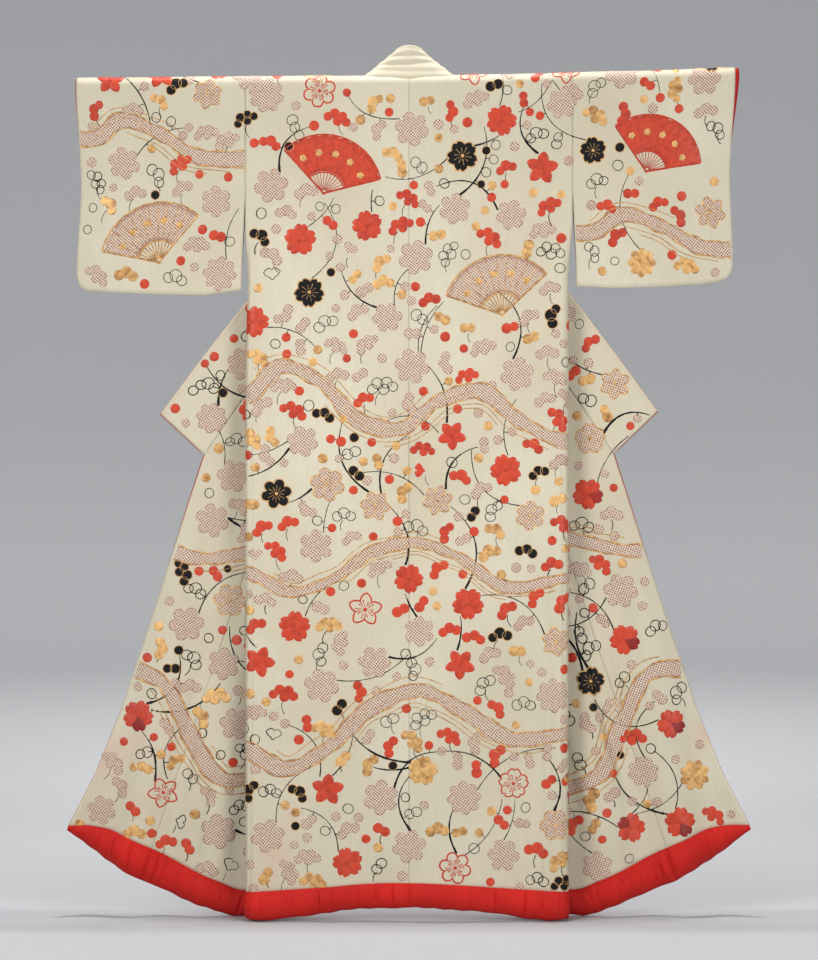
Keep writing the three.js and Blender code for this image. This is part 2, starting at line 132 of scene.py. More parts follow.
# Sharp creases and soft ridges, in each side's own flat lengths. Half is half the width, lift
# its height, and it fades in and out over the given share of its length at each end.
CREASES = [
    # side, u0, s0, u1, s1, half, lift, fade
    ("right", 43, -800, 40, -1640, 4.2, -1.9, 0.12),
    ("right", 51, -880, 54, -1640, 5.5, 1.1, 0.2),
    ("right", 20, -700, 19, -1640, 3.0, -1.6, 0.15),
    ("right", 63, -1180, 66, -1640, 7.0, -1.3, 0.3),
    ("left", 21, -236, 20, -1640, 3.0, -1.7, 0.06),
    ("left", 13, -300, 12, -1640, 5.0, 1.0, 0.1),
    ("left", 47, -980, 55, -1640, 8.0, -1.4, 0.3),
    ("left", 262, -1250, 270, -1640, 12, -1.6, 0.3),
    ("right", 250, -1180, 262, -1640, 11, -1.5, 0.3),
    ("left", 150, -700, 160, -1500, 26, 1.3, 0.4),
    ("right", 150, -420, 170, -1400, 28, -1.2, 0.4),
    ("left", 60, -20, 66, -420, 22, -1.3, 0.3),
    ("right", 70, -20, 60, -460, 22, -1.3, 0.3),
    ("left", 232, -20, 240, -300, 18, -0.9, 0.3),
    ("right", 236, -20, 242, -330, 18, -0.9, 0.3),
    ("left", -60, -30, -66, -400, 24, 1.2, 0.3),
    ("left", -190, -30, -186, -400, 26, -1.3, 0.3),
    ("left", -300, -20, -296, -260, 14, -1.2, 0.3),
    ("right", -80, -30, -74, -400, 24, -1.2, 0.3),
    ("right", -200, -30, -210, -400, 26, 1.3, 0.3),
    ("right", -285, -20, -290, -300, 14, -1.3, 0.3),
    ("left", 330, 1240, 262, 1650, 11, 3.4, 0.25),
    ("left", 300, 1180, 236, 1650, 12, -3.4, 0.25),
    ("left", 210, 1320, 184, 1660, 10, 2.4, 0.25),
    ("left", 352, 820, 372, 1500, 15, 2.2, 0.35),
    ("left", 420, 880, 432, 1560, 17, -2.0, 0.35),
    ("left", 300, 700, 318, 1200, 13, -2.0, 0.35),
    ("right", 322, 900, 282, 1540, 9, -3.2, 0.2),
    ("right", 304, 940, 258, 1560, 11, 3.2, 0.25),
    ("right", 338, 720, 356, 1480, 15, 2.4, 0.35),
    ("right", 388, 760, 398, 1520, 15, -2.2, 0.35),
    ("right", 436, 880, 446, 1400, 13, 1.8, 0.35),
    ("right", 230, 1240, 196, 1640, 11, 2.6, 0.3),
    ("left", 440, 560, 505, 800, 16, -1.5, 0.35),
    ("left", 470, 520, 560, 800, 18, 1.4, 0.35),
    ("right", 430, 560, 500, 800, 16, 1.5, 0.35),
    ("right", 462, 510, 548, 790, 18, -1.4, 0.35),
]


# ---------------------------------------------------------------- small maths on arrays
def share(value, low, high):
    """How far value is from low to high, held between 0 and 1."""
    return np.clip((value - low) / (high - low), 0, 1)


def ease(value, low, high):
    """The same, with a soft start and end: 3t^2 - 2t^3."""
    t = share(value, low, high)
    return t * t * (3 - 2 * t)


def lerp(a, b, t):
    return a + (b - a) * t


def bump(value, middle, half):
    """A rounded bump of height 1: exp(-d^2), with d in half widths from its middle."""
    return np.exp(-(((value - middle) / half) ** 2))


def stacked(*coordinates):
    return np.stack(np.broadcast_arrays(*coordinates), axis=-1)


def unit(vectors):
    return vectors / np.maximum(np.linalg.norm(vectors, axis=-1, keepdims=True), 1e-9)


def polar(radius, angle):
    return stacked(radius * np.cos(angle), radius * np.sin(angle))


def quarter_turn(vectors):
    return stacked(-vectors[..., 1], vectors[..., 0])


# ---------------------------------------------------------------- how the flat cloth hangs
def over_rod(s):
    """Round the rod by arc length, then straight down: y = R sin(s/R), z = -R(1 - cos(s/R))."""
    down = np.abs(s)
    quarter = ROD * math.pi / 2
    turning = down < quarter
    y = np.where(turning, ROD * np.sin(s / ROD), np.sign(s) * ROD)
    z = np.where(turning, -ROD * (1 - np.cos(s / ROD)), -ROD - (down - quarter))
    return y, z


def lean(down):
    return LEAN * (np.maximum(down, 0) / LENGTH) ** 2


def turn_radius(down):
    return lerp(ROD, TURN_HEM, share(down, SIDE_OPEN, LENGTH))


def side_turn(u, down):
    """Below the armhole the side seam is the middle of a half round: each layer ends in a
    quarter circle. Gives how far out a point stands and how far it has turned inwards."""
    radius = turn_radius(down)
    arc = radius * math.pi / 2 * ease(down, ARMHOLE, SIDE_OPEN)
    angle = np.maximum(arc - u, 0) / radius
    out = np.where(u >= arc, PANEL - u, PANEL - arc + radius * np.sin(angle))
    return out, radius * (1 - np.cos(angle))


def fold_radius(length):
    opening = np.sqrt(share(length, 0, LENGTH))
    return lerp(*FOLD_RADII, opening * (0.4 + 0.6 * share(length, 0, FOLD_OPENS_BY)))


def shoulder_rise(side, out, down):
    return side["rise"] * share(out, 0, side["reach"]) ** 1.5 * (1 - ease(down, 300, 900))


def drawn_out(side, out, down):
    return out + side["spread"] * share(out, 0, PANEL) * ease(down, ARMHOLE, SIDE_OPEN + 200)


def back_cloth(side, u, s):
    """The back: over the rod, leaning back with the square of the drop, with the broad folds
    as bumps (1 - d^2)^2 across."""
    down = -s
    out, inward = side_turn(u, down)
    y, z = over_rod(s)
    y = y - (turn_radius(down) - ROD) - lean(down) + inward
    out = drawn_out(side, out, down)
    x = side["sign"] * out
    for place, half, depth, start, full in BACK_FOLDS:
        across = share(np.abs(x - place), 0, half)
        y = y + depth * (1 - across**2) ** 2 * ease(down, start, full)
    return stacked(x, y, z + shoulder_rise(side, out, down))


def front_cloth(side, u, s):
    """The front: flat cloth mirrored about a slanting line, with a half round of growing
    radius at that line, and soft waves towards the free edge."""
    cos, sin = math.cos(FOLD_ANGLE), math.sin(FOLD_ANGLE)
    length = s * cos - (u - side["fold_top"]) * sin
    past = (u - side["fold_top"]) * cos + s * sin
    radius = fold_radius(length)
    half = math.pi * radius / 2
    angle = np.clip((past + half) / radius, 0, math.pi)
    across = np.where(past < half, -half + radius * np.sin(angle), -past)
    across = np.where(past <= -half, past, across)
    lift = radius * (1 - np.cos(angle))
    flat_u = side["fold_top"] - length * sin + across * cos
    down = length * cos + across * sin
    out, inward = side_turn(flat_u, down)
    out = np.where(lift > 0, PANEL - flat_u, out)
    inward = np.where(lift > 0, 0, inward)
    y, z = over_rod(down)
    free = ease(past - half, 0, 140) * ease(s, 500, LENGTH)
    wave = WAVE_DEPTH * free * np.sin((past - half) / WAVE_LENGTH * TAU)
    y = y + (turn_radius(down) - ROD) - lean(down) - inward + lift + wave
    out = drawn_out(side, out, down)
    return stacked(side["sign"] * out, y, z + shoulder_rise(side, out, down))


def body_cloth(side, u, s):
    """Front or back by the sign of s. Past the side seam the cloth goes on round to the other."""
    wrapped = u < 0
    u, s = np.abs(u), np.where(wrapped, -s, s)
    return np.where((s < 0)[..., None], back_cloth(side, u, s), front_cloth(side, u, s))


def sleeve_foot(side, t):
    width = side["reach"] - PANEL
    into_corner = np.clip(SLEEVE_CORNER - (1 - t) * width, 0, SLEEVE_CORNER)
    rounded = SLEEVE_CORNER - np.sqrt(SLEEVE_CORNER**2 - into_corner**2)
    return np.interp(t, *side["foot"]) - rounded


def sleeve_cloth(side, u, s):
    """A flat bag over the rod: t runs from armhole to wrist, and the gap between its two walls
    closes towards the foot and the lower wrist edge."""
    t = -u / (side["reach"] - PANEL)
    down = np.abs(s)
    inner = PANEL + SLEEVE_GAP * ease(down, ARMHOLE - 10, SIDE_OPEN)
    reach = lerp(side["reach"], side["foot_reach"], ease(down, ARMHOLE, 400))
    outer = reach - side["pull"] * np.sin(math.pi * share(down, 20, 400)) ** 2
    y, z = over_rod(s)
    foot = share(down, ARMHOLE, SIDE_OPEN)
    cuff = ease(down, CUFF_OPEN - 70, CUFF_OPEN + 10) * ease(t, 0.62, 1)
    gap = lerp(1, SLEEVE_FOOT / ROD, np.maximum(foot, cuff))
    out = lerp(inner, outer, t)
    return stacked(side["sign"] * out, y * gap, z + shoulder_rise(side, out, 0))


def cloth(side, u, s, sleeve):
    """Sleeve or body cloth, point by point, as the mask says."""
    sleeve = np.broadcast_to(sleeve, np.shape(u))
    return np.where(sleeve[..., None], sleeve_cloth(side, u, s), body_cloth(side, u, s))


def outside(side, u, s, sleeve):
    """Unit normal out of the cloth's face: the step down crossed with the step across."""
    step = 0.5
    across = cloth(side, u + step, s, sleeve) - cloth(side, u - step, s, sleeve)
    down = cloth(side, u, s + step, sleeve) - cloth(side, u, s - step, sleeve)
    return unit(np.cross(down, across) * side["sign"])


def inner_edge(s):
    """Centre back seam, then the neck hole, then the collar's slanting seam."""
    neck = np.interp(s, [-NECK_DROP, -8, 0], [PANEL, 250.5, NECK_U])
    return np.where(s < 0, neck, np.minimum(PANEL, NECK_U + COLLAR_RUN * s))


def overlap_edge(s):
    slanted = NECK_U + COLLAR_RUN * s
    return np.where(s <= COLLAR_END, slanted, PANEL + np.interp(s, OVERLAP_DOWN, OVERLAP_WIDTH))


def back_hem(u):
    return LENGTH - HEM_RISE_AT_CENTRE * ease(u, 0, PANEL)


def hem_table(u, values):
    """A value at each HEM_U, rounded off by averaging over 24 mm."""
    return np.mean([np.interp(u + d, HEM_U, values) for d in np.linspace(-12, 12, 7)], axis=0)


def front_hem(u):
    return hem_table(u, HEM_DOWN)


def collar_width(s):
    return lerp(*COLLAR_WIDTHS, (np.maximum(s, 1) / COLLAR_END) ** 0.7)


def collar_flat(s, across):
    """Flat place of a point across the collar from seam station s."""
    slant = math.atan(COLLAR_RUN) + COLLAR_END_SLANT * ease(s, 650, COLLAR_END)
    return NECK_U + COLLAR_RUN * s + across * np.cos(slant), s - across * np.sin(slant)


def relief(side, u, s, sleeve, lining=False):
    """Height of creases, seams and slight unevenness above the smooth lay. A crease is a
    rounded bump exp(-(d/half)^2) along a line; a seam is a narrow groove with small puckers;
    the unevenness is a sum of long sine waves. A lining has only the troughs, widened, so that
    it stays under the cloth."""
    x = side["sign"] * (PANEL - u)
    front = np.where(s > 0, 1.7, 0.0)
    height = 0.45 * np.sin(x / 47 + s / 310 + front) * np.sin(s / 143 + 0.6 + x / 500)
    height = height + 0.35 * np.sin(x / 23 + 1.1 + s / 900) * np.sin(s / 260 + x / 90 + front)
    height = height + 0.22 * np.sin(x / 11.5 + 2.0 * np.sin(s / 330)) * ease(np.abs(s), 60, 700)
    for name, u0, s0, u1, s1, half, lift, fade in CREASES:
        if name != side["name"] or (lining and lift > 0):
            continue
        half = half * 1.8 if lining else half
        du, ds = u1 - u0, s1 - s0
        size = math.hypot(du, ds)
        t = ((u - u0) * du + (s - s0) * ds) / size**2
        bend = 0.35 * half * np.sin(t * 9 + u0)
        away = ((u - u0) * ds - (s - s0) * du) / size + bend
        fades = ease(t, 0, fade) * (1 - ease(t, 1.02 - 0.4 * fade, 1.05))
        height = height + lift * bump(away, 0, half) * fades
    pucker = 0.16 * np.sin(s / 3.1 + np.sin(s / 17)) + 0.12 * np.sin(s / 5.3)
    for seam, reached in (
        (u - PANEL, ease(np.abs(s), NECK_DROP, 40) * np.where(s > 0, ease(s, OVERLAP_TOP, 330), 1)),
        (u, np.where(sleeve, 1 - ease(np.abs(s), ARMHOLE, 240), 1)),
    ):
        groove = -0.75 * bump(seam, 0, 1.9) + pucker * bump(seam, 0, 8)
        height = height + groove * reached
    return height


# ---------------------------------------------------------------- meshes from arrays
sheets = {}  # for each cloth piece, its object, its cut's width and length, and its area


def grid_quads(rows, columns, flipped=False, closed=False):
    """Quads of a grid, row by row; closed joins the last column to the first."""
    r, c = np.meshgrid(np.arange(rows - 1), np.arange(columns - (0 if closed else 1)), indexing="ij")
    right = (c + 1) % columns
    corners = [(r, c), (r + 1, c), (r + 1, right), (r, right)]
    quads = np.stack([(row * columns + column).ravel() for row, column in corners], axis=1)
    return quads[:, ::-1] if flipped else quads


def mesh_object(name, points, faces, material, flat=None, values=None, rides=True):
    """An object from points in millimetres and arrays of three or four-cornered faces, with a
    UV map of flat lengths in metres and named values at its points."""
    mesh = bpy.data.meshes.new(name)
    faces = [f for f in faces if len(f)]
    mesh.vertices.add(len(points))
    places = np.asarray(points, float) * MM
    mesh.vertices.foreach_set("co", places.ravel().astype(np.float32))
    loops = np.concatenate([f.ravel() for f in faces]).astype(np.int32)
    sizes = np.concatenate([np.full(len(f), f.shape[1]) for f in faces])
    mesh.loops.add(len(loops))
    mesh.loops.foreach_set("vertex_index", loops)
    mesh.polygons.add(len(sizes))
    starts = np.concatenate([[0], np.cumsum(sizes)[:-1]])
    mesh.polygons.foreach_set("loop_start", starts.astype(np.int32))
    mesh.polygons.foreach_set("use_smooth", np.ones(len(sizes), bool))
    if flat is not None:
        layer = mesh.uv_layers.new(name="flat")
        lengths = (np.asarray(flat, float) * MM)[loops]
        layer.data.foreach_set("uv", lengths.ravel().astype(np.float32))
    for key, value in (values or {}).items():
        layer = mesh.attributes.new(key, "FLOAT", "POINT")
        layer.data.foreach_set("value", np.asarray(value, np.float32).ravel())
    mesh.materials.append(material)
    mesh.update(calc_edges=True)
    mesh.validate()
    thing = bpy.data.objects.new(name, mesh)
    bpy.context.scene.collection.objects.link(thing)
    if rides:
        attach(thing, "root")
    return thing


def sheet_piece(name, points, quads, material, flat, stains, thickness, cut, area):
    """A cloth piece from its grid of points. Its wall's other face lies behind the one built."""
    thing = mesh_object(
        "silk_" + name, points.reshape(-1, 3), [quads], material,
        flat=flat.reshape(-1, 2), values=dict(zip(("pink", "brown"), stains)),
    )
    wall = thing.modifiers.new("wall", "SOLIDIFY")
    wall.thickness = thickness * MM
    wall.offset = -1
    wall.use_even_offset = False
    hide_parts(name)
    sheets[name] = (thing, cut, area)


def aged(side, u, s):
    """Soft spots of old stains: a sum of round hills (1 - d^2)^2. Brown follows the shoulder."""
    x = side["sign"] * (PANEL - u)
    pink = np.zeros(np.shape(u))
    for name, u0, s0, size, strength in (
        ("left", 470, 1500, 75, 0.8),
        ("left", 420, 1450, 60, 0.5),
        ("left", 380, 1560, 45, 0.4),
        ("right", 470, 1450, 45, 0.7),
        ("right", 430, 1490, 35, 0.4),
        ("left", 70, -1560, 60, 0.7),
        ("left", 95, -1490, 40, 0.45),
        ("left", 45, -1610, 40, 0.5),
        ("right", 120, -1600, 30, 0.3),
        ("right", 110, 620, 60, 0.4),
    ):
        if name == side["name"]:
            away = share(np.hypot((u - u0) * 1.3, s - s0), 0, size)
            pink = pink + strength * (1 - away**2) ** 2
    brown = 0.55 * bump(np.abs(s), 4, 9) * (0.7 + 0.3 * np.sin(x / 31))
    brown = brown + 0.18 * (1 + np.sin(x / 61 + 1.3) * np.sin(s / 170 + x / 210)) / 2
    return np.clip(pink, 0, 1), np.clip(brown, 0, 1)


def cloth_sheet(name, side, u, s, sleeve, top, thickness, material, cut):
    """A cloth piece: its flat grid laid out as it hangs, moved out to its face."""
    normal = outside(side, u, s, sleeve)
    height = top + relief(side, u, s, sleeve, "lining" in name)
    points = cloth(side, u, s, sleeve) + normal * height[..., None]
    quads = grid_quads(*u.shape, flipped=side["sign"] < 0)
    flat = np.stack([u * side["sign"], s], axis=-1)
    area = surface_area(stacked(u, s, 0))
    sheet_piece(name, points, quads, material, flat, aged(side, u, s), thickness, cut, area)


def spread(low, high, density, count):
    """Places from low to high in each row, closest where the density is greatest: the running
    sum of the density is cut into equal parts."""
    fine = np.linspace(0, 1, 500)
    places = low[:, None] + (high - low)[:, None] * fine
    total = np.cumsum(density(places), axis=1)
    total = total - total[:, :1]
    wanted = np.linspace(0, 1, count)
    return np.array([np.interp(wanted * t[-1], t, p) for t, p in zip(total, places)])


def hem_drop(u, s):
    """How far the hem is off a straight line across, front or back."""
    return np.where(s < 0, back_hem(u), front_hem(u)) - LENGTH


def reach_hem(u, s):
    """The last rows lean over to follow the hem's own line."""
    down = np.abs(s)
    return np.sign(s) * (down + hem_drop(u, s) * ease(down, 1380, LENGTH))


def body_grid(side, rows, columns):
    """Flat lengths of a body length's grid, closest at its turns, its seams and the rod."""
    dense = lambda s: 0.12 + 0.3 * bump(s, 0, 26) + 0.25 * bump(s, -8, 14)
    s = spread(np.array([-LENGTH]), np.array([LENGTH]), dense, rows)[0]
    fold = (side["fold_top"] - s * math.tan(FOLD_ANGLE))[:, None]
    turned = ease(np.abs(s), ARMHOLE, SIDE_OPEN)[:, None]
    front = (s > 0)[:, None]

    def across(u):
        bend = np.where(front, 3.0 * bump(u, fold, 30), 1.1 * bump(u, 40, 34))
        seams = 2.2 * turned * bump(u, 0, 20) + 2.0 * bump(u, PANEL, 7) + 1.5 * bump(u, 0, 6)
        return 1 + seams + bend

    u = spread(np.zeros(rows), inner_edge(s), across, columns)
    return u, reach_hem(u, s[:, None])


def overlap_grid(side, rows, columns, beyond=0):
    s = np.linspace(OVERLAP_TOP + 1, LENGTH, rows)
    outer = overlap_edge(s) + beyond * (1 - 0.8 * ease(s, COLLAR_END + 40, COLLAR_END + 320))
    dense = lambda u: 1 + 2.0 * bump(u, PANEL, 7)
    u = spread(np.full(rows, float(PANEL)), outer, dense, columns)
    return u, reach_hem(np.minimum(u, PANEL + OVERLAP_HEM), s[:, None])


def sleeve_grid(side, rows, columns, cuff=0, shorter=0):
    t = np.linspace(1, 0, columns)[None, :]
    along = np.linspace(-1, 1, rows)
    along = (along + 0.9 * np.sign(along) * np.abs(along) ** 2.2)[:, None] / 1.9
    s = along * (sleeve_foot(side, t) - shorter)
    width = side["reach"] - PANEL
    u = -t * (width + cuff * (1 - share(np.abs(s), 30, 165)))
    return u, s


def hermite(knots, values, places):
    """A smooth line through the values: cubic pieces whose slopes are those of the chords
    between the neighbours."""
    slopes = np.gradient(values, knots, axis=0)
    i = np.clip(np.searchsorted(knots, places) - 1, 0, len(knots) - 2)
    span = (knots[i + 1] - knots[i])[:, None, None]
    t = ((places - knots[i])[:, None, None]) / span
    a, b = values[i], values[i + 1]
    return (
        (2 * t**3 - 3 * t**2 + 1) * a
        + (t**3 - 2 * t**2 + t) * span * slopes[i]
        + (3 * t**2 - 2 * t**3) * b
        + (t**3 - t**2) * span * slopes[i + 1]
    )


# Where the band stands on the neck hole: station on the seam, and its free edge
NECK_STATIONS = [
    (25, (19, 25, 4)),
    (8, (28, 21, 24)),
    (0, (35, 14, 41)),
    (-8, (27, 6, 51)),
    (-11.5, (15, 0, 58.5)),
    (-NECK_DROP, (0, -3, 61)),
]
COLLAR_SHORT = 60  # below this station the band lies in the front's plane


def neck_line(side, s, edge, across):
    """A straight line from the neck seam to the band's edge."""
    at = lambda row: body_cloth(side, np.array([inner_edge(row)]), np.array([float(row)]))[0]
    if -NECK_DROP < s < -8:
        seam = lerp(at(-8), at(-NECK_DROP), share(s, -8, -NECK_DROP))
    else:
        seam = at(s)
    edge = np.array(edge) * (side["sign"], 1, 1)
    return seam + (edge - seam) * across[:, None]


def collar_rows(front_rows, neck_rows, columns, beyond=0):
    """The band from its left end, up, round the neck and down to its right end, seam to edge
    across. Its front stretches lie in the fronts' planes, and a smooth line joins the neck's
    stations."""
    t = np.linspace(0, 1, columns)
    stations = np.linspace(COLLAR_END, COLLAR_SHORT, front_rows)
    points, flats = {}, {}
    for key, side in SIDES.items():
        width = collar_width(stations)[:, None]
        across = width * t + 0.25 * beyond * t
        u, down = collar_flat(stations[:, None], across)
        down = down + beyond * bump(stations[:, None], COLLAR_END, 2) * ease(t, 0, 0.15)
        points[key] = front_cloth(side, u, down)
        flats[key] = np.stack([u, down], axis=-1)
    controls = []
    for side in SIDES.values():
        rows = [
            front_cloth(side, *collar_flat(s, collar_width(s) * t)) for s in (140, 100, COLLAR_SHORT)
        ]
        rows += [neck_line(side, s, edge, t) for s, edge in NECK_STATIONS]
        controls.append(rows)
    rows = np.array(controls[0] + controls[1][-2::-1])
    steps = np.linalg.norm(np.diff(rows[:, columns // 3], axis=0), axis=1)
    knots = np.concatenate([[0], np.cumsum(steps)])
    neck = hermite(knots, rows, np.linspace(knots[2], knots[-3], neck_rows + 2)[1:-1])
    run = np.linspace(-COLLAR_SHORT, COLLAR_SHORT, neck_rows)
    neck_flat = stacked(NECK_U + COLLAR_RUN * run[:, None] + t * COLLAR_WIDTHS[0], run[:, None])
    grid = np.concatenate([points["left"], neck, points["right"][::-1]])
    flat = np.concatenate([flats["left"], neck_flat, flats["right"][::-1]])
    return grid, flat, t


def grid_normals(points):
    """Unit normals of a grid: the step along crossed with the step across."""
    return unit(np.cross(np.gradient(points, axis=0), np.gradient(points, axis=1)))


def surface_area(points):
    """Area of a grid in square metres, by the cross product of each cell's diagonals."""
    first = points[1:, 1:] - points[:-1, :-1]
    second = points[1:, :-1] - points[:-1, 1:]
    return float(np.linalg.norm(np.cross(first, second), axis=-1).sum() / 2 * MM * MM)


# The padded hem's gathers: for each, its place along the roll, depth, half width, slant, and the
# heights between which it shows. Drawn once, unevenly.
gather_draw = np.random.default_rng(41)
GATHERS = np.column_stack([
    np.cumsum(gather_draw.uniform(9, 44, 60)),
    gather_draw.uniform(0.9, 2.7, 60) * gather_draw.choice([0.5, 1], 60),
    gather_draw.uniform(1.5, 4.6, 60),
    gather_draw.uniform(-0.25, 0.25, 60),
    gather_draw.choice([0, 0, 0.1, 0.35], 60),
    gather_draw.choice([1, 1, 0.8, 0.55], 60),
])


def gathers(along, height):
    """Uneven upright troughs -depth exp(-(d/half)^2) in the roll, and broad soft lumps."""
    depth = 0.7 * np.sin(along / 37 + 1.1 * np.sin(along / 91)) * np.sin(height * 3.1)
    for place, deep, half, slant, low, high in GATHERS:
        away = along - place - slant * height * 50
        shows = ease(height, low - 0.06, low + 0.12) * (1 - ease(height, high - 0.18, high + 0.04))
        trough = bump(away, 0, half) - 0.35 * bump(away, 2.2 * half, 1.5 * half)
        depth = depth - deep * trough * shows
    return depth


def hem_roll(name, side, low, high, back, material, columns=230, rings=34):
    """A padded roll along the hem: round its section the drop is (1 - cos a)/2 of its height
    and the bulge sin a of its half thickness, pinched where it is sewn on and at its ends."""
    u = np.linspace(low, high, columns)
    s = -back_hem(u) if back else front_hem(u)
    away = np.sign(s) * 2.0
    edge = cloth(side, u, s, False)
    out = outside(side, u, s, False)
    downward = unit(cloth(side, u, s + away, False) - edge)
    if back:
        height = ROLL_HEIGHT_BACK - 9 * ease(u, 40, 220) - 6 * (1 - ease(u, 0, 40))
    else:
        height = hem_table(u, HEM_ROLL)
    belly = ROLL_BELLY * np.minimum(1, (height / 50) ** 0.8)
    start = 0.16
    angle = np.linspace(start, TAU - start, rings)
    drop = (1 - np.cos(angle)) / 2
    along = (u + 40 if back else 700 - u) + (200 if side["sign"] > 0 else 0)
    swell = gathers(along[:, None] % 1300, drop[None, :])
    pinch = 1 - 0.25 * (bump(u, PANEL, 5) + 0.6 * bump(u, PANEL, 16))
    pinch = pinch * lerp(0.3, 1, ease(u, 0, 55))
    thick = belly[:, None] * pinch[:, None] + swell * (belly / ROLL_BELLY)[:, None] * 1.6
    bulge = np.sin(angle) * np.maximum(thick, 1.2)
    bulge = np.where(np.sin(angle) < 0, bulge * 0.96, bulge)
    hang = height + SEWN_ON + 0.8 * np.sin(along / 23)
    hang = hang + 0.7 * np.sin(along / 7.7 + 2 * np.sin(along / 40))
    fall = -SEWN_ON + drop * hang[:, None]
    if back:
        fall = fall - 2.5 * ease(u, 60, 300)[:, None]
    points = edge[:, None] + downward[:, None] * fall[..., None] + out[:, None] * bulge[..., None]
    grid = points.reshape(-1, 3)
    middles = points.mean(axis=1)
    quads = grid_quads(columns, rings, closed=True)
    count = columns * rings
    ring = np.arange(rings)
    following = (ring + 1) % rings
    last = count - rings
    caps = [
        np.stack([np.full(rings, count), ring, following], axis=1),
        np.stack([np.full(rings, count + 1), last + following, last + ring], axis=1),
    ]
    vertices = np.concatenate([grid, middles[[0, -1]]])
    faces = [quads, caps[0], caps[1]]
    corners = np.concatenate([quads[:, :3], quads[:, [0, 2, 3]], *caps])
    a, b, c = (vertices[corners[:, k]] for k in range(3))
    if (a * np.cross(b, c)).sum() < 0:
        faces = [f[:, ::-1] for f in faces]
    around = np.linspace(0, 2 * ROLL_HEIGHT_BACK, rings)
    flat = stacked(along[:, None], around[None, :]).reshape(-1, 2)
    flat = np.concatenate([flat, flat[:1], flat[-1:]])
    # The drop round the section, kept at each point so that the red silk paints the underside darker:
    # painted shade
    shade = np.concatenate([np.broadcast_to(drop, (columns, rings)).ravel(), [0.5, 0.5]])
    thing = mesh_object("roll_" + name, vertices, faces, material, flat=flat, values={"drop": shade})
    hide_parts(name)


# ---------------------------------------------------------------- finishes
def linear(code):
    """An sRGB hex colour as linear values, by the standard curve."""
    parts = np.array([int(code[i : i + 2], 16) for i in (1, 3, 5)]) / 255
    parts = np.where(parts <= 0.04045, parts / 12.92, ((parts + 0.055) / 1.055) ** 2.4)
    return (*map(float, parts), 1.0)


def add(tree, kind, inputs=(), out=0, **settings):
    """One node, and gives the output asked for. Inputs are values, hex colours or other nodes'
    outputs by socket name or number, and settings are the node's own properties."""
    node = tree.nodes.new("ShaderNode" + kind)
    for key, value in settings.items():
        setattr(node, key, value)
    for key, value in dict(inputs).items():
        if isinstance(value, bpy.types.NodeSocket):
            tree.links.new(value, node.inputs[key])
        else:
            node.inputs[key].default_value = linear(value) if isinstance(value, str) else value
    return node.outputs[out] if node.outputs else None


def make_material(name, pattern, *values, **shader):
    """A material: pattern gives its colour and its bump from the flat lengths in metres, and the
    rest are values on the shader's own sockets."""
    material = bpy.data.materials.new(name)
    material.use_nodes = True
    tree = material.node_tree
    tree.nodes.clear()
    put = functools.partial(add, tree)
    colour, bump_map = pattern(put, put("UVMap", uv_map="flat"), *values)
    sockets = {key.replace("_", " "): value for key, value in shader.items()}
    sockets.update({"Base Color": colour, "Normal": put("Bump", bump_map)})
    put("OutputMaterial", {"Surface": put("BsdfPrincipled", sockets)})
    return material


RGBA = dict(data_type="RGBA")
PLUS = dict(operation="ADD")
TIMES = dict(operation="MULTIPLY")
TIMES_PLUS = dict(operation="MULTIPLY_ADD")


def threads(put, flat, spacing, turn=0.0):
    """A plain weave's height: ribs across times ribs along, one each spacing in metres."""
    ribs = TAU / spacing
    place = put("Mapping", {"Vector": flat, "Rotation": (0, 0, turn), "Scale": (ribs, ribs, 1)})
    across, along = (
        put("Math", {0: put("SeparateXYZ", {0: place}, axis)}, operation="SINE") for axis in (0, 1)
    )
    return put("Math", {0: across, 1: along}, **TIMES)


def tint(put, colour, over, pattern, low, high, most=1.0):
    """Lays a colour over another as the pattern goes from low to high, at most that much."""
    share_of = put("MapRange", {0: pattern, 1: low, 2: high, 4: most})
    return put("Mix", {0: share_of, 6: colour, 7: over}, 2, **RGBA)


def silk_crepe(put, flat):
    """Undyed silk crepe, gone cream with age. Its matt, faintly pebbled face has a low sheen and
    fine streaks along the warp. Threads are 0.5 mm apart, drawn at 1.6 mm so that they show."""
    lengthwise = put("Mapping", {"Vector": flat, "Scale": (260, 22, 1)})
    streak = put("TexNoise", {"Vector": lengthwise, "Scale": 1.0, "Detail": 3.0})
    blotch = put("TexNoise", {"Vector": flat, "Scale": 3.2, "Detail": 3.0})
    grain = put("TexNoise", {"Vector": flat, "Scale": 520, "Detail": 2.0})
    colour = tint(put, "#cec6b0", "#c1b9a1", blotch, 0.35, 0.7)
    colour = tint(put, colour, "#b8af95", streak, 0.42, 0.75, 0.3)
    colour = tint(put, colour, "#aba187", grain, 0.35, 0.7, 0.16)
    for stain, strength, stained in (("brown", 0.75, "#a8875a"), ("pink", 0.33, "#cf8672")):
        spots = put("Attribute", out=2, attribute_name=stain)
        share_of = put("Math", {0: spots, 1: strength}, **TIMES)
        colour = put("Mix", {0: share_of, 6: colour, 7: stained}, 2, **RGBA)
    height = put("Math", {0: grain, 1: 2.0, 2: threads(put, flat, 0.0016)}, **TIMES_PLUS)
    height = put("Math", {0: streak, 1: 1.6, 2: height}, **TIMES_PLUS)
    return colour, {"Height": height, "Distance": 0.00012, "Strength": 0.6}


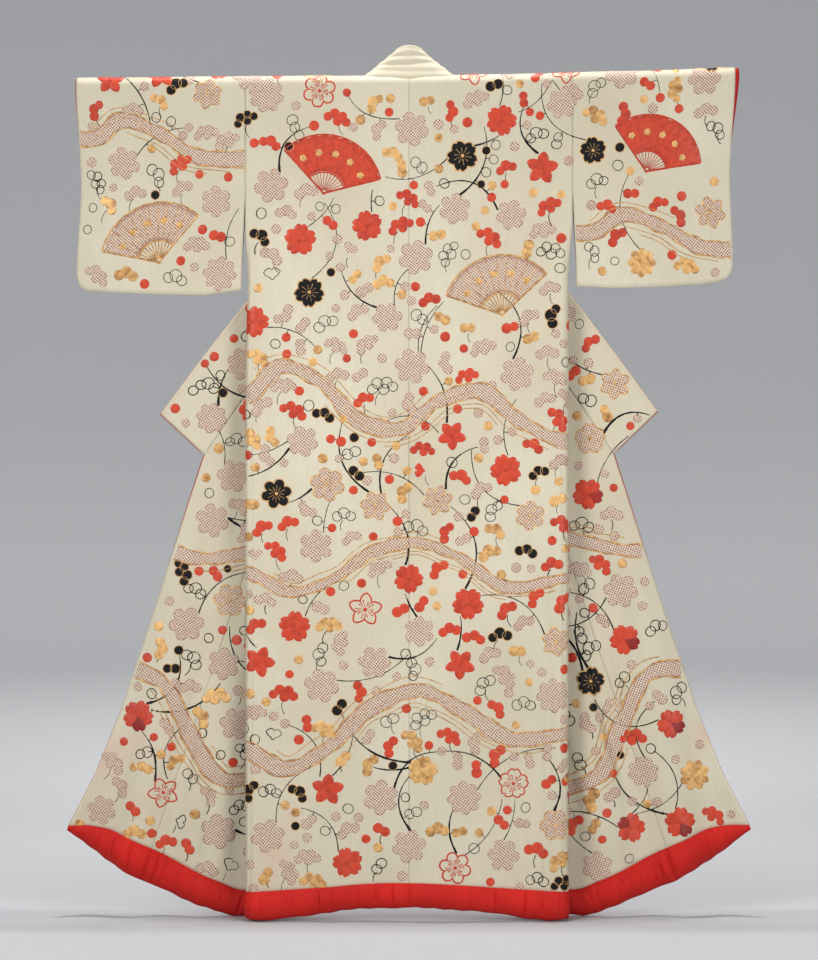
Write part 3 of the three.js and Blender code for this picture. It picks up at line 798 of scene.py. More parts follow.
def plain_red_silk(put, flat, light, deep):
    """Thin plain-woven silk dyed with safflower and gardenia: a clear orange red with a quiet
    lustre, a little darker along its folds. On the hem rolls its underside is painted darker:
    painted shade. Threads are drawn at 1.2 mm."""
    lengthwise = put("Mapping", {"Vector": flat, "Scale": (60, 14, 1)})
    blotch = put("TexNoise", {"Vector": flat, "Scale": 7.0, "Detail": 3.0})
    streak = put("TexNoise", {"Vector": lengthwise, "Scale": 1.0, "Detail": 3.0})
    colour = tint(put, light, deep, blotch, 0.35, 0.7)
    colour = tint(put, colour, deep, streak, 0.45, 0.75, 0.5)
    # Lower round the roll's section the colour is painted darker: painted shade
    drop = put("Attribute", out=2, attribute_name="drop")
    colour = tint(put, colour, "#8f1612", drop, 0.5, 1.0, 0.6)
    height = put("Math", {0: streak, 1: 3.0, 2: threads(put, flat, 0.0012)}, **TIMES_PLUS)
    return colour, {"Height": height, "Distance": 0.00015, "Strength": 0.5}


def satin_stitch(put, flat, light, deep, deepest, spacing):
    """Floss laid side by side. A filled shape is painted lighter and darker by a broad noise, as
    painted sheen: rows of stitches catch the light at their own angles. The floss is drawn at
    the spacing given in metres. Tone turns it from light to deep, and past 1 to the deepest;
    besides each motif's random tone it carries painted sheen per petal and painted shade at
    the edges."""
    tone = put("Attribute", out=2, attribute_name="tone")
    patch = put("TexNoise", {"Vector": flat, "Scale": 95, "Detail": 2.0})
    # Lighter and darker stripes from a broad noise: painted sheen
    painted_sheen_bands = put("MapRange", {0: patch, 1: 0.3, 2: 0.7, 3: -0.35, 4: 0.65})
    colour = put("Mix", {0: put("Math", {0: painted_sheen_bands, 1: tone}, **PLUS), 6: light, 7: deep}, 2, **RGBA)
    colour = tint(put, colour, deepest, tone, 1.0, 1.5)
    slanting = {"Vector": flat, "Rotation": (0, 0, -0.5), "Scale": (spacing, 1 / 60, 1)}
    rows = put("Mapping", slanting, vector_type="TEXTURE")
    floss = put("TexNoise", {"Vector": rows, "Scale": 1.0, "Detail": 2.0})
    colour = tint(put, colour, deep, floss, 0.4, 0.7, 0.5)
    height = put("Math", {0: floss, 1: patch}, **PLUS)
    return colour, {"Height": height, "Distance": 0.0003, "Strength": 0.8}


def tied_dots(put, flat):
    """Dots tied and dyed by hand: red-brown specks in slanting rows, about 5 mm from one to the
    next on the undyed silk, each a little squarish."""
    lattice = threads(put, flat, 0.0066, math.radians(7))
    uneven = put("TexNoise", {"Vector": flat, "Scale": 160, "Detail": 2.0})
    strength = put("MapRange", {0: uneven, 1: 0.3, 2: 0.55, 3: 0.6, 4: 1.0})
    speck = put("MapRange", {0: lattice, 1: -0.1, 2: 0.3})
    speck = put("Math", {0: speck, 1: strength}, **TIMES)
    colour = put("Mix", {0: speck, 6: "#d2c2ac", 7: "#77392f"}, 2, **RGBA)
    tone = put("Attribute", out=2, attribute_name="tone")
    colour = put("Mix", {0: tone, 6: colour, 7: "#8a5142"}, 2, **RGBA)
    pits = put("Math", {0: speck, 1: -1.0}, **TIMES)
    return colour, {"Height": pits, "Distance": 0.0002, "Strength": 0.6}


SILK = make_material(
    "silk_crepe_cream", silk_crepe, Roughness=0.62, Sheen_Weight=0.28, Sheen_Roughness=0.45
)
RED = dict(Roughness=0.62, Sheen_Weight=0.02, Sheen_Roughness=0.35, Specular_IOR_Level=0.2)
LINING = make_material("lining_red_silk", plain_red_silk, "#c0281c", "#9c1814", **RED)
HEM = make_material("hem_red_silk", plain_red_silk, "#cb1e15", "#ad1510", **RED)
THREADS = {
    "thread_vermilion": make_material(
        "vermilion_satin_stitch", satin_stitch, "#c84022", "#a02c18", "#7a1010", 0.0012,
        Roughness=0.45, Sheen_Weight=0.2, Sheen_Roughness=0.3, Specular_IOR_Level=0.35,
    ),
    "thread_gold": make_material(
        "couched_gold_thread", satin_stitch, "#dcae6c", "#8c5c2c", "#6f4520", 0.0016,
        Roughness=0.5, Metallic=0.25,
    ),
    "thread_black": make_material(
        "black_silk_stitch", satin_stitch, "#0c0a0c", "#040405", "#040405", 0.0012,
        Roughness=0.6, Specular_IOR_Level=0.2,
    ),
    "dotted": make_material(
        "tied_and_dyed_dots", tied_dots, Roughness=0.7, Sheen_Weight=0.2, Sheen_Roughness=0.5,
    ),
}


# ---------------------------------------------------------------- the robe's own pieces
def make_cloth(side):
    """One side's body length, overlap and sleeve, with their linings and hem rolls. Each cut is
    the flat piece's width and length."""
    key, width, cuff = side["name"], side["reach"] - PANEL, side["cuff"]
    piped = OVERLAP_HEM + PIPING
    face, back = (CLOTH_TOP, CLOTH_THICK, SILK), (LINING_TOP, LINING_THICK, LINING)
    for name, grid, layer, cut in (
        ("body_", body_grid(side, 400, 72), face, (PANEL, BODY_CUT)),
        ("overlap_", overlap_grid(side, 168, 34), face, (OVERLAP_HEM, OVERLAP_CUT)),
        ("sleeve_", sleeve_grid(side, 130, 66), face, (width, SLEEVE_CUT)),
        ("body_lining_", body_grid(side, 200, 42), back, (PANEL, BODY_CUT)),
        ("overlap_lining_", overlap_grid(side, 110, 22, PIPING), back, (piped, OVERLAP_CUT)),
        ("sleeve_lining_", sleeve_grid(side, 90, 40, cuff, 1.2), back, (width + cuff, SLEEVE_CUT)),
    ):
        cloth_sheet(name + key, side, *grid, name.startswith("sleeve"), *layer, cut)
    hem_roll("hem_back_" + key, side, 0, PANEL, True, HEM)
    hem_roll("hem_front_" + key, side, 0, PANEL, False, HEM)
    hem_roll("hem_overlap_" + key, side, PANEL, PANEL + OVERLAP_HEM, False, HEM, columns=130)


def collar_wrinkles(rows, front_rows, across):
    """Soft creases along the band where it bends round the neck, and faint waves below."""
    place = np.arange(rows)[:, None] - (rows - 1) / 2
    behind = 1 - ease(np.abs(place), rows / 2 - front_rows, rows / 2 - front_rows + 26)
    soft = 0.9 * np.sin(across * 9 + place / 13 + 0.8) * np.sin(across * 17 - place / 21)
    lines = -1.1 * bump(across, 0.46 + 0.05 * np.sin(place / 9), 0.045)
    lines = lines - 0.9 * bump(across, 0.7 + 0.05 * np.sin(place / 7 + 1), 0.04)
    lines = lines + 0.6 * bump(across, 0.56 + 0.04 * np.sin(place / 9), 0.06)
    down = 0.3 * np.sin(place / 8.0) * np.sin(across * 5)
    return (soft + lines) * behind + down * (1 - behind)


def make_collar(name, front_rows, neck_rows, columns, top, thickness, material, beyond):
    points, flat, across = collar_rows(front_rows, neck_rows, columns, beyond)
    rows, across = len(points), across[None, :]
    height = top + collar_wrinkles(rows, front_rows, across) * (0.4 if beyond else 1)
    area = surface_area(points)
    points = points + grid_normals(points) * height[..., None]
    zero = np.zeros(points.shape[:2])
    brown = zero + 0.1 + 0.25 * bump(across, 1, 0.06)
    quads = grid_quads(rows, columns)
    cut = COLLAR_WIDTHS[1] + beyond, COLLAR_CUT
    sheet_piece(name, points, quads, material, flat, (zero, brown), thickness, cut, area)


for side in SIDES.values():
    make_cloth(side)
make_collar("collar", 140, 76, 27, COLLAR_TOP, COLLAR_THICK, SILK, 0)
make_collar("collar_lining", 90, 50, 15, LINING_TOP, LINING_THICK, LINING, PIPING)


# ---------------------------------------------------------------- embroidery and tied dots
def front_edge(s):
    """Free edge of the fronts: the collar's edge, then its end cut, then the overlap's edge."""
    station = np.linspace(COLLAR_SHORT, COLLAR_END, 60)
    u, down = collar_flat(station, collar_width(station))
    low = np.linspace(COLLAR_END, LENGTH, 40)
    return np.interp(s, np.concatenate([down, low]), np.concatenate([u, overlap_edge(low + 0.01)]))


def on_collar(u, s):
    return (s > 30) & (s < COLLAR_END) & (u > NECK_U + COLLAR_RUN * s)


def on_face(side, u, s, from_sleeve):
    """Points on the cloth's face, level with the highest cloth within 4 mm, and the normals. Past
    the armhole seam lies the sleeve, past the side seam the other layer, and past the centre
    back seam the other side."""
    other = SIDES["left" if side["sign"] > 0 else "right"]
    over = (u > PANEL) & (s < 0)
    sleeve = (u < 0) & ((np.abs(s) < ARMHOLE) | from_sleeve)
    top = np.where(on_collar(u, s), COLLAR_TOP + 0.4, CLOTH_TOP)
    points, normals = [], []
    for part, across in ((side, u), (other, 2 * PANEL - u)):
        normal = outside(part, across, s, sleeve)
        near = [relief(part, across + d, s, sleeve) for d in (-4, 0, 4)]
        height = top + np.max(near, axis=0) * np.where(on_collar(u, s), 0.3, 1)
        points.append(cloth(part, across, s, sleeve) + normal * height[..., None])
        normals.append(normal)
    return tuple(np.where(over[..., None], b, a) for a, b in (points, normals))


stitched = {}
# How much darker each finish gets where its edge dips into the cloth: on the threads this is
# painted shade along their edges, on the dotted patches a darker outline
RIM_TONE_AND_SHADE = {"thread_vermilion": 0.6, "thread_gold": 0.4, "thread_black": 0, "dotted": 0.95}


def stitch(place, slot, patch, tone, shift=(0, 0)):
    """Keeps a patch of offsets, lift and faces for its cloth piece. Offsets and the shift are
    right and down, in millimetres."""
    side, u, s, sheet = place
    offsets, lift, faces = patch
    offsets = offsets + np.asarray(shift)
    flat_u = u - side["sign"] * offsets[:, 0]
    flat_s = s + (-1 if s < 0 else 1) * offsets[:, 1]
    turned = []
    for f in faces:
        a, b, c = f[:, 0], f[:, 1], f[:, 2]
        area = (flat_s[b] - flat_s[a]) * (flat_u[c] - flat_u[a])
        area = area - (flat_u[b] - flat_u[a]) * (flat_s[c] - flat_s[a])
        turned.append(f if area.sum() * side["sign"] > 0 else f[:, ::-1])
    lift = np.broadcast_to(lift, flat_u.shape)
    # Darker where the patch dips into the cloth: painted shade at the edges of the threads
    rim_tone_and_shade = np.where(lift < 0, RIM_TONE_AND_SHADE[slot], 0)
    tone = max(tone, 0) * 0.3 if slot == "dotted" else tone
    key = (sheet, slot, side["name"])
    stitched.setdefault(key, []).append((flat_u, flat_s, lift, turned, tone + rim_tone_and_shade))


def disc_patch(radius, rings=(0.45, 0.8, 1), domes=(1, 0.8, -0.25), angles=18, height=0.7, turn=0.0):
    """A filled outline: radius is a number or a function of the angle; rings at shares of it
    rise to a low dome, and the last ring dips into the cloth."""
    angle = np.arange(angles) / angles * TAU
    outline = radius(angle) if callable(radius) else np.full(angles, float(radius))
    ring = np.array(rings)[:, None] * outline
    points = np.concatenate([[[0, 0]], polar(ring, angle + turn).reshape(-1, 2)])
    lift = np.concatenate([[height], np.repeat(np.array(domes) * height, angles)])
    k = np.arange(angles)
    fan = np.stack([np.zeros(angles, int), 1 + k, 1 + (k + 1) % angles], axis=1)
    quads = grid_quads(len(rings), angles, closed=True) + 1
    return points, lift, [fan, quads[:, ::-1]]


def ribbon(path, width, height=0.7, closed=False):
    """A half round cord laid along a path: its two edges dip into the cloth."""
    path = np.asarray(path, float)
    if closed:
        step = np.roll(path, -1, axis=0) - np.roll(path, 1, axis=0)
    else:
        step = np.gradient(path, axis=0)
    away = quarter_turn(unit(step)) * np.broadcast_to(width, len(path))[:, None] / 2
    points = np.stack([path - away, path, path + away], axis=1).reshape(-1, 2)
    lift = np.tile([-0.2, height, -0.2], len(path))
    faces = grid_quads(len(path), 3)
    if closed:
        last = 3 * (len(path) - 1)
        joins = [[last + k, k, k + 1, last + k + 1] for k in (0, 1)]
        faces = np.concatenate([faces, np.array(joins)])
    return points, lift, [faces]


def curve(start, end, bend, count=14):
    """A shallow arc: the straight line pushed aside by bend times its length, as a parabola."""
    start, end = np.array(start, float), np.array(end, float)
    t = np.linspace(0, 1, count)[:, None]
    return start + (end - start) * t + quarter_turn(end - start) * bend * 4 * t * (1 - t)


def off_petal(angle, count):
    """How far an angle is from the middle of the nearest of count petals."""
    half = math.pi / count
    return (angle + half) % (2 * half) - half


# Petal outlines as functions of the angle, for a flower of radius 1
def round_petals(count, set_out=0.58):
    def outline(angle):
        off = off_petal(angle, count)
        inside = (1 - set_out) ** 2 - (set_out * np.sin(off)) ** 2
        return set_out * np.cos(off) + np.sqrt(np.maximum(inside, 0.012))

    return outline


def notched_petals(count):
    smooth = round_petals(count, 0.56)
    return lambda angle: smooth(angle) - 0.15 * bump(off_petal(angle, count), 0, 0.085)


def pointed_petals(count, depth):
    half = math.pi / count
    return lambda angle: 1 - depth * (np.abs(off_petal(angle, count)) / half) ** 1.25


def sized(outline, radius):
    return lambda angle: outline(angle) * radius


FLOWER_KINDS = [
    (5, notched_petals(5)),
    (6, round_petals(6, 0.66)),
    (5, pointed_petals(5, 0.42)),
    (8, round_petals(8, 0.74)),
    (6, pointed_petals(6, 0.36)),
]


def outline_path(outline, radius, turn, count):
    angle = np.arange(count) / count * TAU
    return polar(outline(angle) * radius, angle + turn)


def stamens(place, slot, radius, turn, count, width, tone):
    """Thin rays with a knot at each end, round a small button."""
    stitch(place, slot, disc_patch(radius * 0.13, height=1.5, angles=12), tone)
    for k in range(count):
        ray = polar(1, turn + (k + 0.5) / count * TAU)
        far = radius * (0.54 if k % 2 else 0.44)
        thread = curve(ray * radius * 0.2, ray * far, 0.04, 4)
        stitch(place, slot, ribbon(thread, width, 1.25), tone)
        stitch(place, slot, disc_patch(width * 1.05, (1,), (-0.1,), 8, 1.6), tone, ray * far)


FILL = {
    "vermilion": "thread_vermilion", "gold": "thread_gold", "black_gold": "thread_black",
    "ring": "thread_black", "dotted": "dotted", "dotted_gold": "dotted",
}
OUTLINE = {
    "dotted_gold": "thread_gold", "black_gold": "thread_gold", "open_vermilion": "thread_vermilion",
}


def large_flower(place, finish, kind, radius, turn, draw):
    """An open flower in one of the finishes; the finish says what fills it and its lines."""
    petals, outline = FLOWER_KINDS[kind]
    tone = draw.uniform(-0.15, 0.2)
    fill, line = FILL.get(finish), OUTLINE.get(finish)
    thin = finish in ("dotted", "dotted_gold")
    if fill:
        height = 0.5 if thin else 0.75
        angles = petals * 10
        domes = np.array([0.75, 0.95, 1.0, 0.85, -0.25])
        points, lift, faces = disc_patch(
            sized(outline, radius), (0.2, 0.45, 0.72, 0.93, 1), domes, angles, height, turn
        )
        if not thin:
            angle = np.tile(np.arange(angles) / angles * petals * math.pi, 5)
            groove = np.abs(np.cos(angle)) ** 0.35
            lift[1:] = np.where(lift[1:] > 0, lift[1:] * (0.35 + 0.65 * groove), lift[1:])
            lift[0] *= 0.5
        petal = np.concatenate([[0], np.tile((np.arange(angles) + 5) // 10 % petals, 5)])
        # Each stitched petal lighter or darker by a sine of its number: painted sheen, over the
        # random tone
        tone_and_petal_sheen = tone if thin else tone + 0.22 * np.sin(2.4 * petal + place[1])
        if finish == "vermilion" and place[2] > 0:
            tone_and_petal_sheen = tone_and_petal_sheen + 1.6 * (petal == 1)
        stitch(place, fill, (points, lift, faces), tone_and_petal_sheen)
    if line:
        tone = draw.uniform(-0.1, 0.15)
        width = radius * (0.11 if finish == "open_vermilion" else 0.1)
        path = outline_path(outline, radius * 0.97, turn, petals * 14)
        stitch(place, line, ribbon(path, width, 1.2, closed=True), tone)
        for k in range(petals if finish != "black_gold" else 0):
            ray = polar(1, turn + (k + 0.5) / petals * TAU)
            notch = radius * float(outline(np.array(math.pi / petals)))
            between = curve(ray * radius * 0.3, ray * notch * 0.94, 0, 4)
            stitch(place, line, ribbon(between, width * 0.6, 1.1), tone)
        stamens(place, line, radius, turn, 2 * petals, radius * 0.05, tone)
    elif finish == "vermilion":
        stitch(place, fill, disc_patch(radius * 0.13, angles=12, height=1.3), tone + 0.5)


def leaf_outline(angle):
    """A ginkgo leaf: a wide arc cut by a notch, narrowing to its stalk."""
    off = (angle + math.pi / 2 + math.pi) % TAU - math.pi
    spread_out = 1 - ease(np.abs(off), 0.9, 1.5) * 0.82
    return spread_out * (1 - 0.3 * bump(off, 0, 0.12))


SMALL_LAYOUTS = {
    "berry": [(0, 0, 9.2)],
    "pair": [(-7.0, 1.5, 10.0), (7.5, -1.5, 9.6)],
    "three": [(-13, 3.5, 9.6), (0.5, -3.5, 11.0), (13.5, 2.5, 9.4)],
    "five": [(-17, 3, 8.6), (-7, -6.5, 9.6), (3, 5.5, 9.2), (9, -6, 9.4), (19, 2.5, 8.4)],
}
LEAF_RADIUS = 19
RING_WIDTH = 2.0
SMALL_REACH = {"berry": 10, "pair": 17, "three": 23, "five": 27, "leaf": 18}


def small_motif(place, finish, layout, turn, scale, draw):
    """Berries, or a leaf, as filled discs or as thin rings."""
    tone = draw.uniform(-0.2, 0.25)
    cos, sin = math.cos(turn), math.sin(turn)
    spin = np.array([[cos, sin], [-sin, cos]])
    slot = FILL[finish]
    if layout == "leaf":
        if finish == "ring":
            path = outline_path(leaf_outline, LEAF_RADIUS * scale, turn, 40)
            stitch(place, slot, ribbon(path, RING_WIDTH, 0.5, closed=True), 0)
        else:
            height = 0.3 if finish == "dotted" else 0.65
            outline = sized(leaf_outline, LEAF_RADIUS * scale)
            leaf = disc_patch(outline, (0.5, 0.9, 1), (1, 0.8, -0.2), 36, height, turn)
            stitch(place, slot, leaf, tone)
        return
    for x, y, radius in SMALL_LAYOUTS[layout]:
        centre = np.array([x, y]) @ spin * scale
        radius = radius * scale * draw.uniform(0.93, 1.07)
        if finish == "ring":
            path = outline_path(lambda a: 1 + 0.05 * np.sin(2 * a + x), radius, turn, 20)
            stitch(place, slot, ribbon(path, RING_WIDTH, 0.5, closed=True), 0, centre)
            continue
        height = 0.3 if finish == "dotted" else 0.5
        disc = disc_patch(radius, (0.6, 0.84, 1), (0.95, 0.8, -0.2), 16, height)
        stitch(place, slot, disc, tone + 3.5 * draw.uniform(-0.08, 0.08), centre)
        if finish == "black_gold":
            path = outline_path(lambda a: np.ones(len(a)), radius * 0.95, 0, 18)
            stitch(place, "thread_gold", ribbon(path, 1.7, 1.1, closed=True), tone, centre)


def folding_fan(place, finish, reach, turn):
    """An open folding fan: pleats between ribs, with a scalloped outer edge, and the ribs
    drawn together at the pivot."""
    slot = "dotted" if finish == "dotted" else "thread_vermilion"
    spread_angle = math.radians(118)
    folds = 11
    angle = np.linspace(-spread_angle / 2, spread_angle / 2, folds * 8 + 1)
    across = np.linspace(0, 1, 9)
    outer = reach * (1 + 0.022 * np.abs(np.sin(angle / spread_angle * folds * math.pi)))
    ring = reach * 0.36 + (outer[None, :] - reach * 0.36) * across[:, None]
    towards = angle + turn - math.pi / 2
    points = polar(ring, towards)
    pleats = 0.5 + 0.45 * np.cos(angle / spread_angle * folds * TAU)
    swell = np.sin(np.clip(across, 0.05, 0.95) * math.pi)[:, None]
    lift = (0.35 if finish == "dotted" else 0.55) + pleats * swell * 0.4
    lift[[0, -1]] = -0.2
    lift[:, [0, -1]] = -0.2
    centre = np.array([-math.sin(turn), math.cos(turn)]) * reach * 0.6
    leaf = points.reshape(-1, 2), lift.ravel(), [grid_quads(*points.shape[:2])]
    stitch(place, slot, leaf, 0.05, centre)
    edge = "thread_gold" if finish == "dotted" else "thread_vermilion"
    for k in range(folds + 1):
        ray = polar(1, towards[0] + k / folds * spread_angle)
        whole = k in (0, folds)
        inner = ray * reach * 0.06 if not whole else ray * -reach * 0.03
        path = curve(inner, ray * reach * (1.0 if whole else 0.98), 0, 12)
        width = 4.6 if whole else (2.4 if finish == "dotted" else 1.6)
        stitch(place, edge, ribbon(path, width, 1.35), 0.3, centre)
    for share_out in (0.36, 1.01):
        arc = polar(reach * share_out, towards)
        stitch(place, edge, ribbon(arc, 3.6, 1.3), 0.1, centre)
    for k in range(5):
        ray = polar(reach * 0.7, towards[0] + (k + 0.5) / 5 * spread_angle)
        blossom = disc_patch(sized(round_petals(5), reach * 0.075), angles=30, height=1.5)
        stitch(place, "thread_gold", blossom, 0.0, centre + ray)


def stream(place, path, width, count=120):
    """A band of flowing water: tied dots between two wandering gold edges, with a few gold
    ripples inside, along a smooth line through the path's points."""
    path = np.array(path, float)
    knots = np.concatenate([[0], np.cumsum(np.linalg.norm(np.diff(path, axis=0), axis=1))])
    at = np.linspace(0, knots[-1], count)
    middle = hermite(knots, path[:, None], at)[:, 0]
    away = quarter_turn(unit(np.gradient(middle, axis=0)))
    half = width / 2 * (1 + 0.16 * np.sin(at / 41) + 0.07 * np.sin(at / 13))
    t = np.linspace(-1, 1, 9)
    points = middle[:, None] + away[:, None] * (half[:, None] * t)[..., None]
    lift = np.where(np.abs(t) < 1, 0.3, -0.2) + np.zeros((count, 1))
    water = points.reshape(-1, 2), lift.ravel(), [grid_quads(count, 9)]
    stitch(place, "dotted", water, 0.0)
    for edge in (-1, 1):
        line = middle + away * (half * edge + 1.3 * np.sin(at / 7.1 + edge))[:, None]
        stitch(place, "thread_gold", ribbon(line, 3.2 + 1.3 * np.sin(at / 9 + edge), 1.0), 0.1)
    for lane, start, end in (
        (-0.35, 0.08, 0.42), (0.3, 0.35, 0.7), (-1.75, 0.1, 0.6), (1.7, 0.3, 0.93), (2.3, 0.45, 0.8),
    ):
        inside = (at > start * knots[-1]) & (at < end * knots[-1])
        from_middle = lane * width / 2 + 2 * np.sin(at / 17)
        line = (middle + away * from_middle[:, None])[inside]
        stitch(place, "thread_gold", ribbon(line, 1.9, 0.9), 0.2)


def sheet_at(side, u, s):
    """The cloth piece that a flat place is on."""
    if u < 0 and abs(s) < SLEEVE_LOWEST:
        return "sleeve_" + side["name"]
    if on_collar(u, s):
        return "collar"
    if s > OVERLAP_TOP and u > PANEL:
        return "overlap_" + side["name"]
    return "body_" + side["name"]


COLLAR_END_CUT = (479, 111, 50)  # where the collar's end cut starts in u, its run and its rise


def room_to_edge(side, u, s):
    """Distance from a flat place to the nearest edge that a motif may not cross, negative
    outside. Motifs may cross the centre back seam, the shoulder and the fold."""
    down = np.abs(s)
    width = side["reach"] - PANEL
    on_sleeve = u < 0
    t = np.clip(-u / width, 0, 1)
    sleeve_room = np.minimum(width + u, sleeve_foot(side, t) - down)
    sleeve_room = np.minimum(sleeve_room, np.where(down > ARMHOLE - 25, -u - 8, 1e3))
    edge = np.where(s < 0, 2 * PANEL, front_edge(s))
    low = np.where(s < 0, back_hem(np.abs(u)), front_hem(np.maximum(u, 0))) - down
    body_room = np.minimum(edge - u, low + 12)
    past_side = u + np.where(down > 450, 14, -4)
    body_room = np.minimum(body_room, np.where(down > ARMHOLE - 25, past_side, 1e3))
    seam = NECK_U + COLLAR_RUN * s
    start, run, rise = COLLAR_END_CUT
    along = share((u - start) * run - (s - COLLAR_END) * rise, 0, run**2 + rise**2)
    cut = np.hypot(u - start - run * along, s - COLLAR_END + rise * along)
    by_collar = np.minimum(body_room, np.minimum(cut, np.abs(u - seam) + 14))
    body_room = np.where(s > 0, by_collar, body_room)
    neck = np.where(u > NECK_U - 30, np.maximum(-s, s) - 34, 1e3)
    body_room = np.minimum(body_room, np.maximum(neck, NECK_U - 14 - u))
    return np.where(on_sleeve, sleeve_room, body_room)


class Ground:
    """Keeps the places taken, as points on the robe with their normals and reach."""

    def __init__(self):
        self.points, self.normals, self.reaches = [], [], []

    def free(self, point, normal, reach):
        if not self.points:
            return True
        near = np.linalg.norm(np.array(self.points) - point, axis=1) < np.array(self.reaches) + reach
        return not bool((near & (np.array(self.normals) @ normal > 0.2)).any())

    def take(self, point, normal, reach):
        self.points.append(point)
        self.normals.append(normal)
        self.reaches.append(reach)


draw = np.random.default_rng(1867)
ground = Ground()


def on_robe(side, u, s):
    u, s = np.atleast_1d(np.array(u, float)), np.atleast_1d(np.array(s, float))
    return on_face(side, u, s, (u < 0) & (np.abs(s) < SLEEVE_LOWEST))


def spot_on_robe(side, u, s):
    points, normals = on_robe(side, u, s)
    return points[0], normals[0]


def at_chart(x, down):
    """A place on the back as side, u and s, from its distance right of the centre and down."""
    side = SIDES["right" if x >= 0 else "left"]
    return side, PANEL - abs(x), -float(down)


def place_for(side, u, s):
    return side, float(u), float(s), sheet_at(side, u, s)


# Fans: x to the right of the centre, down from the shoulder, finish, reach, turn
FANS = [
    (-520, 312, "dotted", 118, -0.35),
    (-150, 178, "vermilion", 116, 0.3),
    (172, 420, "dotted", 118, -0.2),
    (505, 150, "vermilion", 112, 0.42),
]
for x, down, finish, reach, turn in FANS:
    side, u, s = at_chart(x, down)
    folding_fan(place_for(side, u, s), finish, reach, turn)
    for aside in (-46, -23, 0, 23, 46):
        towards = math.radians(aside) + turn - math.pi / 2
        off = reach * (polar(0.72, towards) + (0, 0.6))
        ground.take(*spot_on_robe(side, u - side["sign"] * off[0], s - off[1]), reach * 0.34)
    ground.take(*spot_on_robe(side, u, s - reach * 0.45), reach * 0.3)

# Streams on the back as x and down; on the fronts as u and s for each side
BACK_STREAMS = [
    (
        [(-346, 652), (-318, 650), (-250, 590), (-170, 622), (-96, 700), (-20, 716), (60, 660),
         (140, 640), (220, 700), (318, 742), (346, 742)], 29,
    ),
    (
        [(-346, 1352), (-318, 1354), (-240, 1392), (-160, 1352), (-70, 1268), (20, 1236), (110, 1278),
         (200, 1332), (316, 1322), (346, 1320)], 30,
    ),
    (
        [(-346, 1000), (-308, 1004), (-230, 1040), (-150, 1016), (-70, 960), (10, 942), (100, 972),
         (190, 1030), (310, 1014), (346, 1012)], 22,
    ),
]
SLEEVE_STREAMS = {
    "left": (
        [(-335, -132), (-306, -132), (-250, -96), (-180, -120), (-96, -170), (-30, -176),
         (-3, -176)], 28,
    ),
    "right": (
        [(-3, -330), (-34, -330), (-100, -296), (-180, -322), (-262, -366), (-300, -372),
         (-321, -372)], 28,
    ),
}
FRONT_STREAMS = [
    (
        [(4, 1490), (50, 1488), (150, 1440), (240, 1462), (330, 1398), (420, 1316), (446, 1312),
         (470, 1312)], 32,
    ),
    (
        [(4, 905), (45, 902), (140, 866), (240, 950), (340, 1020), (430, 1060), (450, 1062),
         (470, 1062)], 28,
    ),
    ([(4, 424), (40, 422), (110, 380), (190, 420), (262, 402), (292, 400), (320, 400)], 26),
]


def keep_clear(side, path, width):
    for a, b in zip(path[:-1], path[1:]):
        for t in (0, 0.33, 0.66):
            u, s = lerp(np.array(a, float), np.array(b, float), t)
            ground.take(*spot_on_robe(side, u, s), width * 0.42)


def lay_stream(side, path, width):
    """Path in the side's flat u and s; it belongs to the piece under its middle."""
    u, s = path[len(path) // 2]
    place = place_for(side, u, s)
    offsets = [((u - a) * side["sign"], (b - s) * (-1 if s < 0 else 1)) for a, b in path]
    stream(place, offsets, width)
    keep_clear(side, path, width)


for path, width in BACK_STREAMS:
    side = SIDES["left"]
    lay_stream(side, [(PANEL + x, -down) for x, down in path], width)
for side in SIDES.values():
    lay_stream(side, *SLEEVE_STREAMS[side["name"]])
    sway = 0 if side["sign"] < 0 else 30
    for path, width in FRONT_STREAMS:
        path = [(u, s + sway * math.sin(u * TAU / 474)) for u, s in path]
        lay_stream(side, path, width)


def scatter(count, apart, keep, seed, margin):
    """Random flat places with room round them, in the order drawn: each is kept if no other
    motif is nearer than its reach and apart together. Keep is the reach it then takes."""
    picks = np.random.default_rng(seed)
    found = []
    u = picks.uniform(-332, 590, count)
    s = picks.uniform(-1640, 1650, count)
    which = picks.integers(0, 2, count)
    for number, side in enumerate(SIDES.values()):
        mask = which == number
        mask &= room_to_edge(side, u, s) > margin
        mask &= ~((s < 0) & (u > PANEL))
        uu, ss = u[mask], s[mask]
        points, normals = on_robe(side, uu, ss)
        order = np.nonzero(mask)[0]
        found += [(order[i], side, uu[i], ss[i], points[i], normals[i]) for i in range(len(uu))]
    kept = []
    for _, side, u, s, point, normal in sorted(found, key=lambda f: f[0]):
        if ground.free(point, normal, apart):
            ground.take(point, normal, keep)
            kept.append((side, u, s))
    return kept


LARGE_FINISHES = (
    ["dotted"] * 9 + ["vermilion"] * 6 + ["dotted_gold"] * 3 + ["open_vermilion"] * 3
    + ["black_gold"] * 3 + ["gold"]
)
KIND_FOR = {
    "dotted": (1, 3, 1), "vermilion": (0, 2, 0), "dotted_gold": (0, 4, 1),
    "open_vermilion": (0, 2, 1), "black_gold": (0, 1, 0), "gold": (1, 3, 0),
}
SMALL_FINISHES = (
    ["vermilion"] * 7 + ["dotted"] * 9 + ["gold"] * 5 + ["ring"] * 5 + ["black_gold"]
)
LAYOUTS = ["three"] * 7 + ["five"] * 6 + ["pair"] * 2 + ["leaf"]


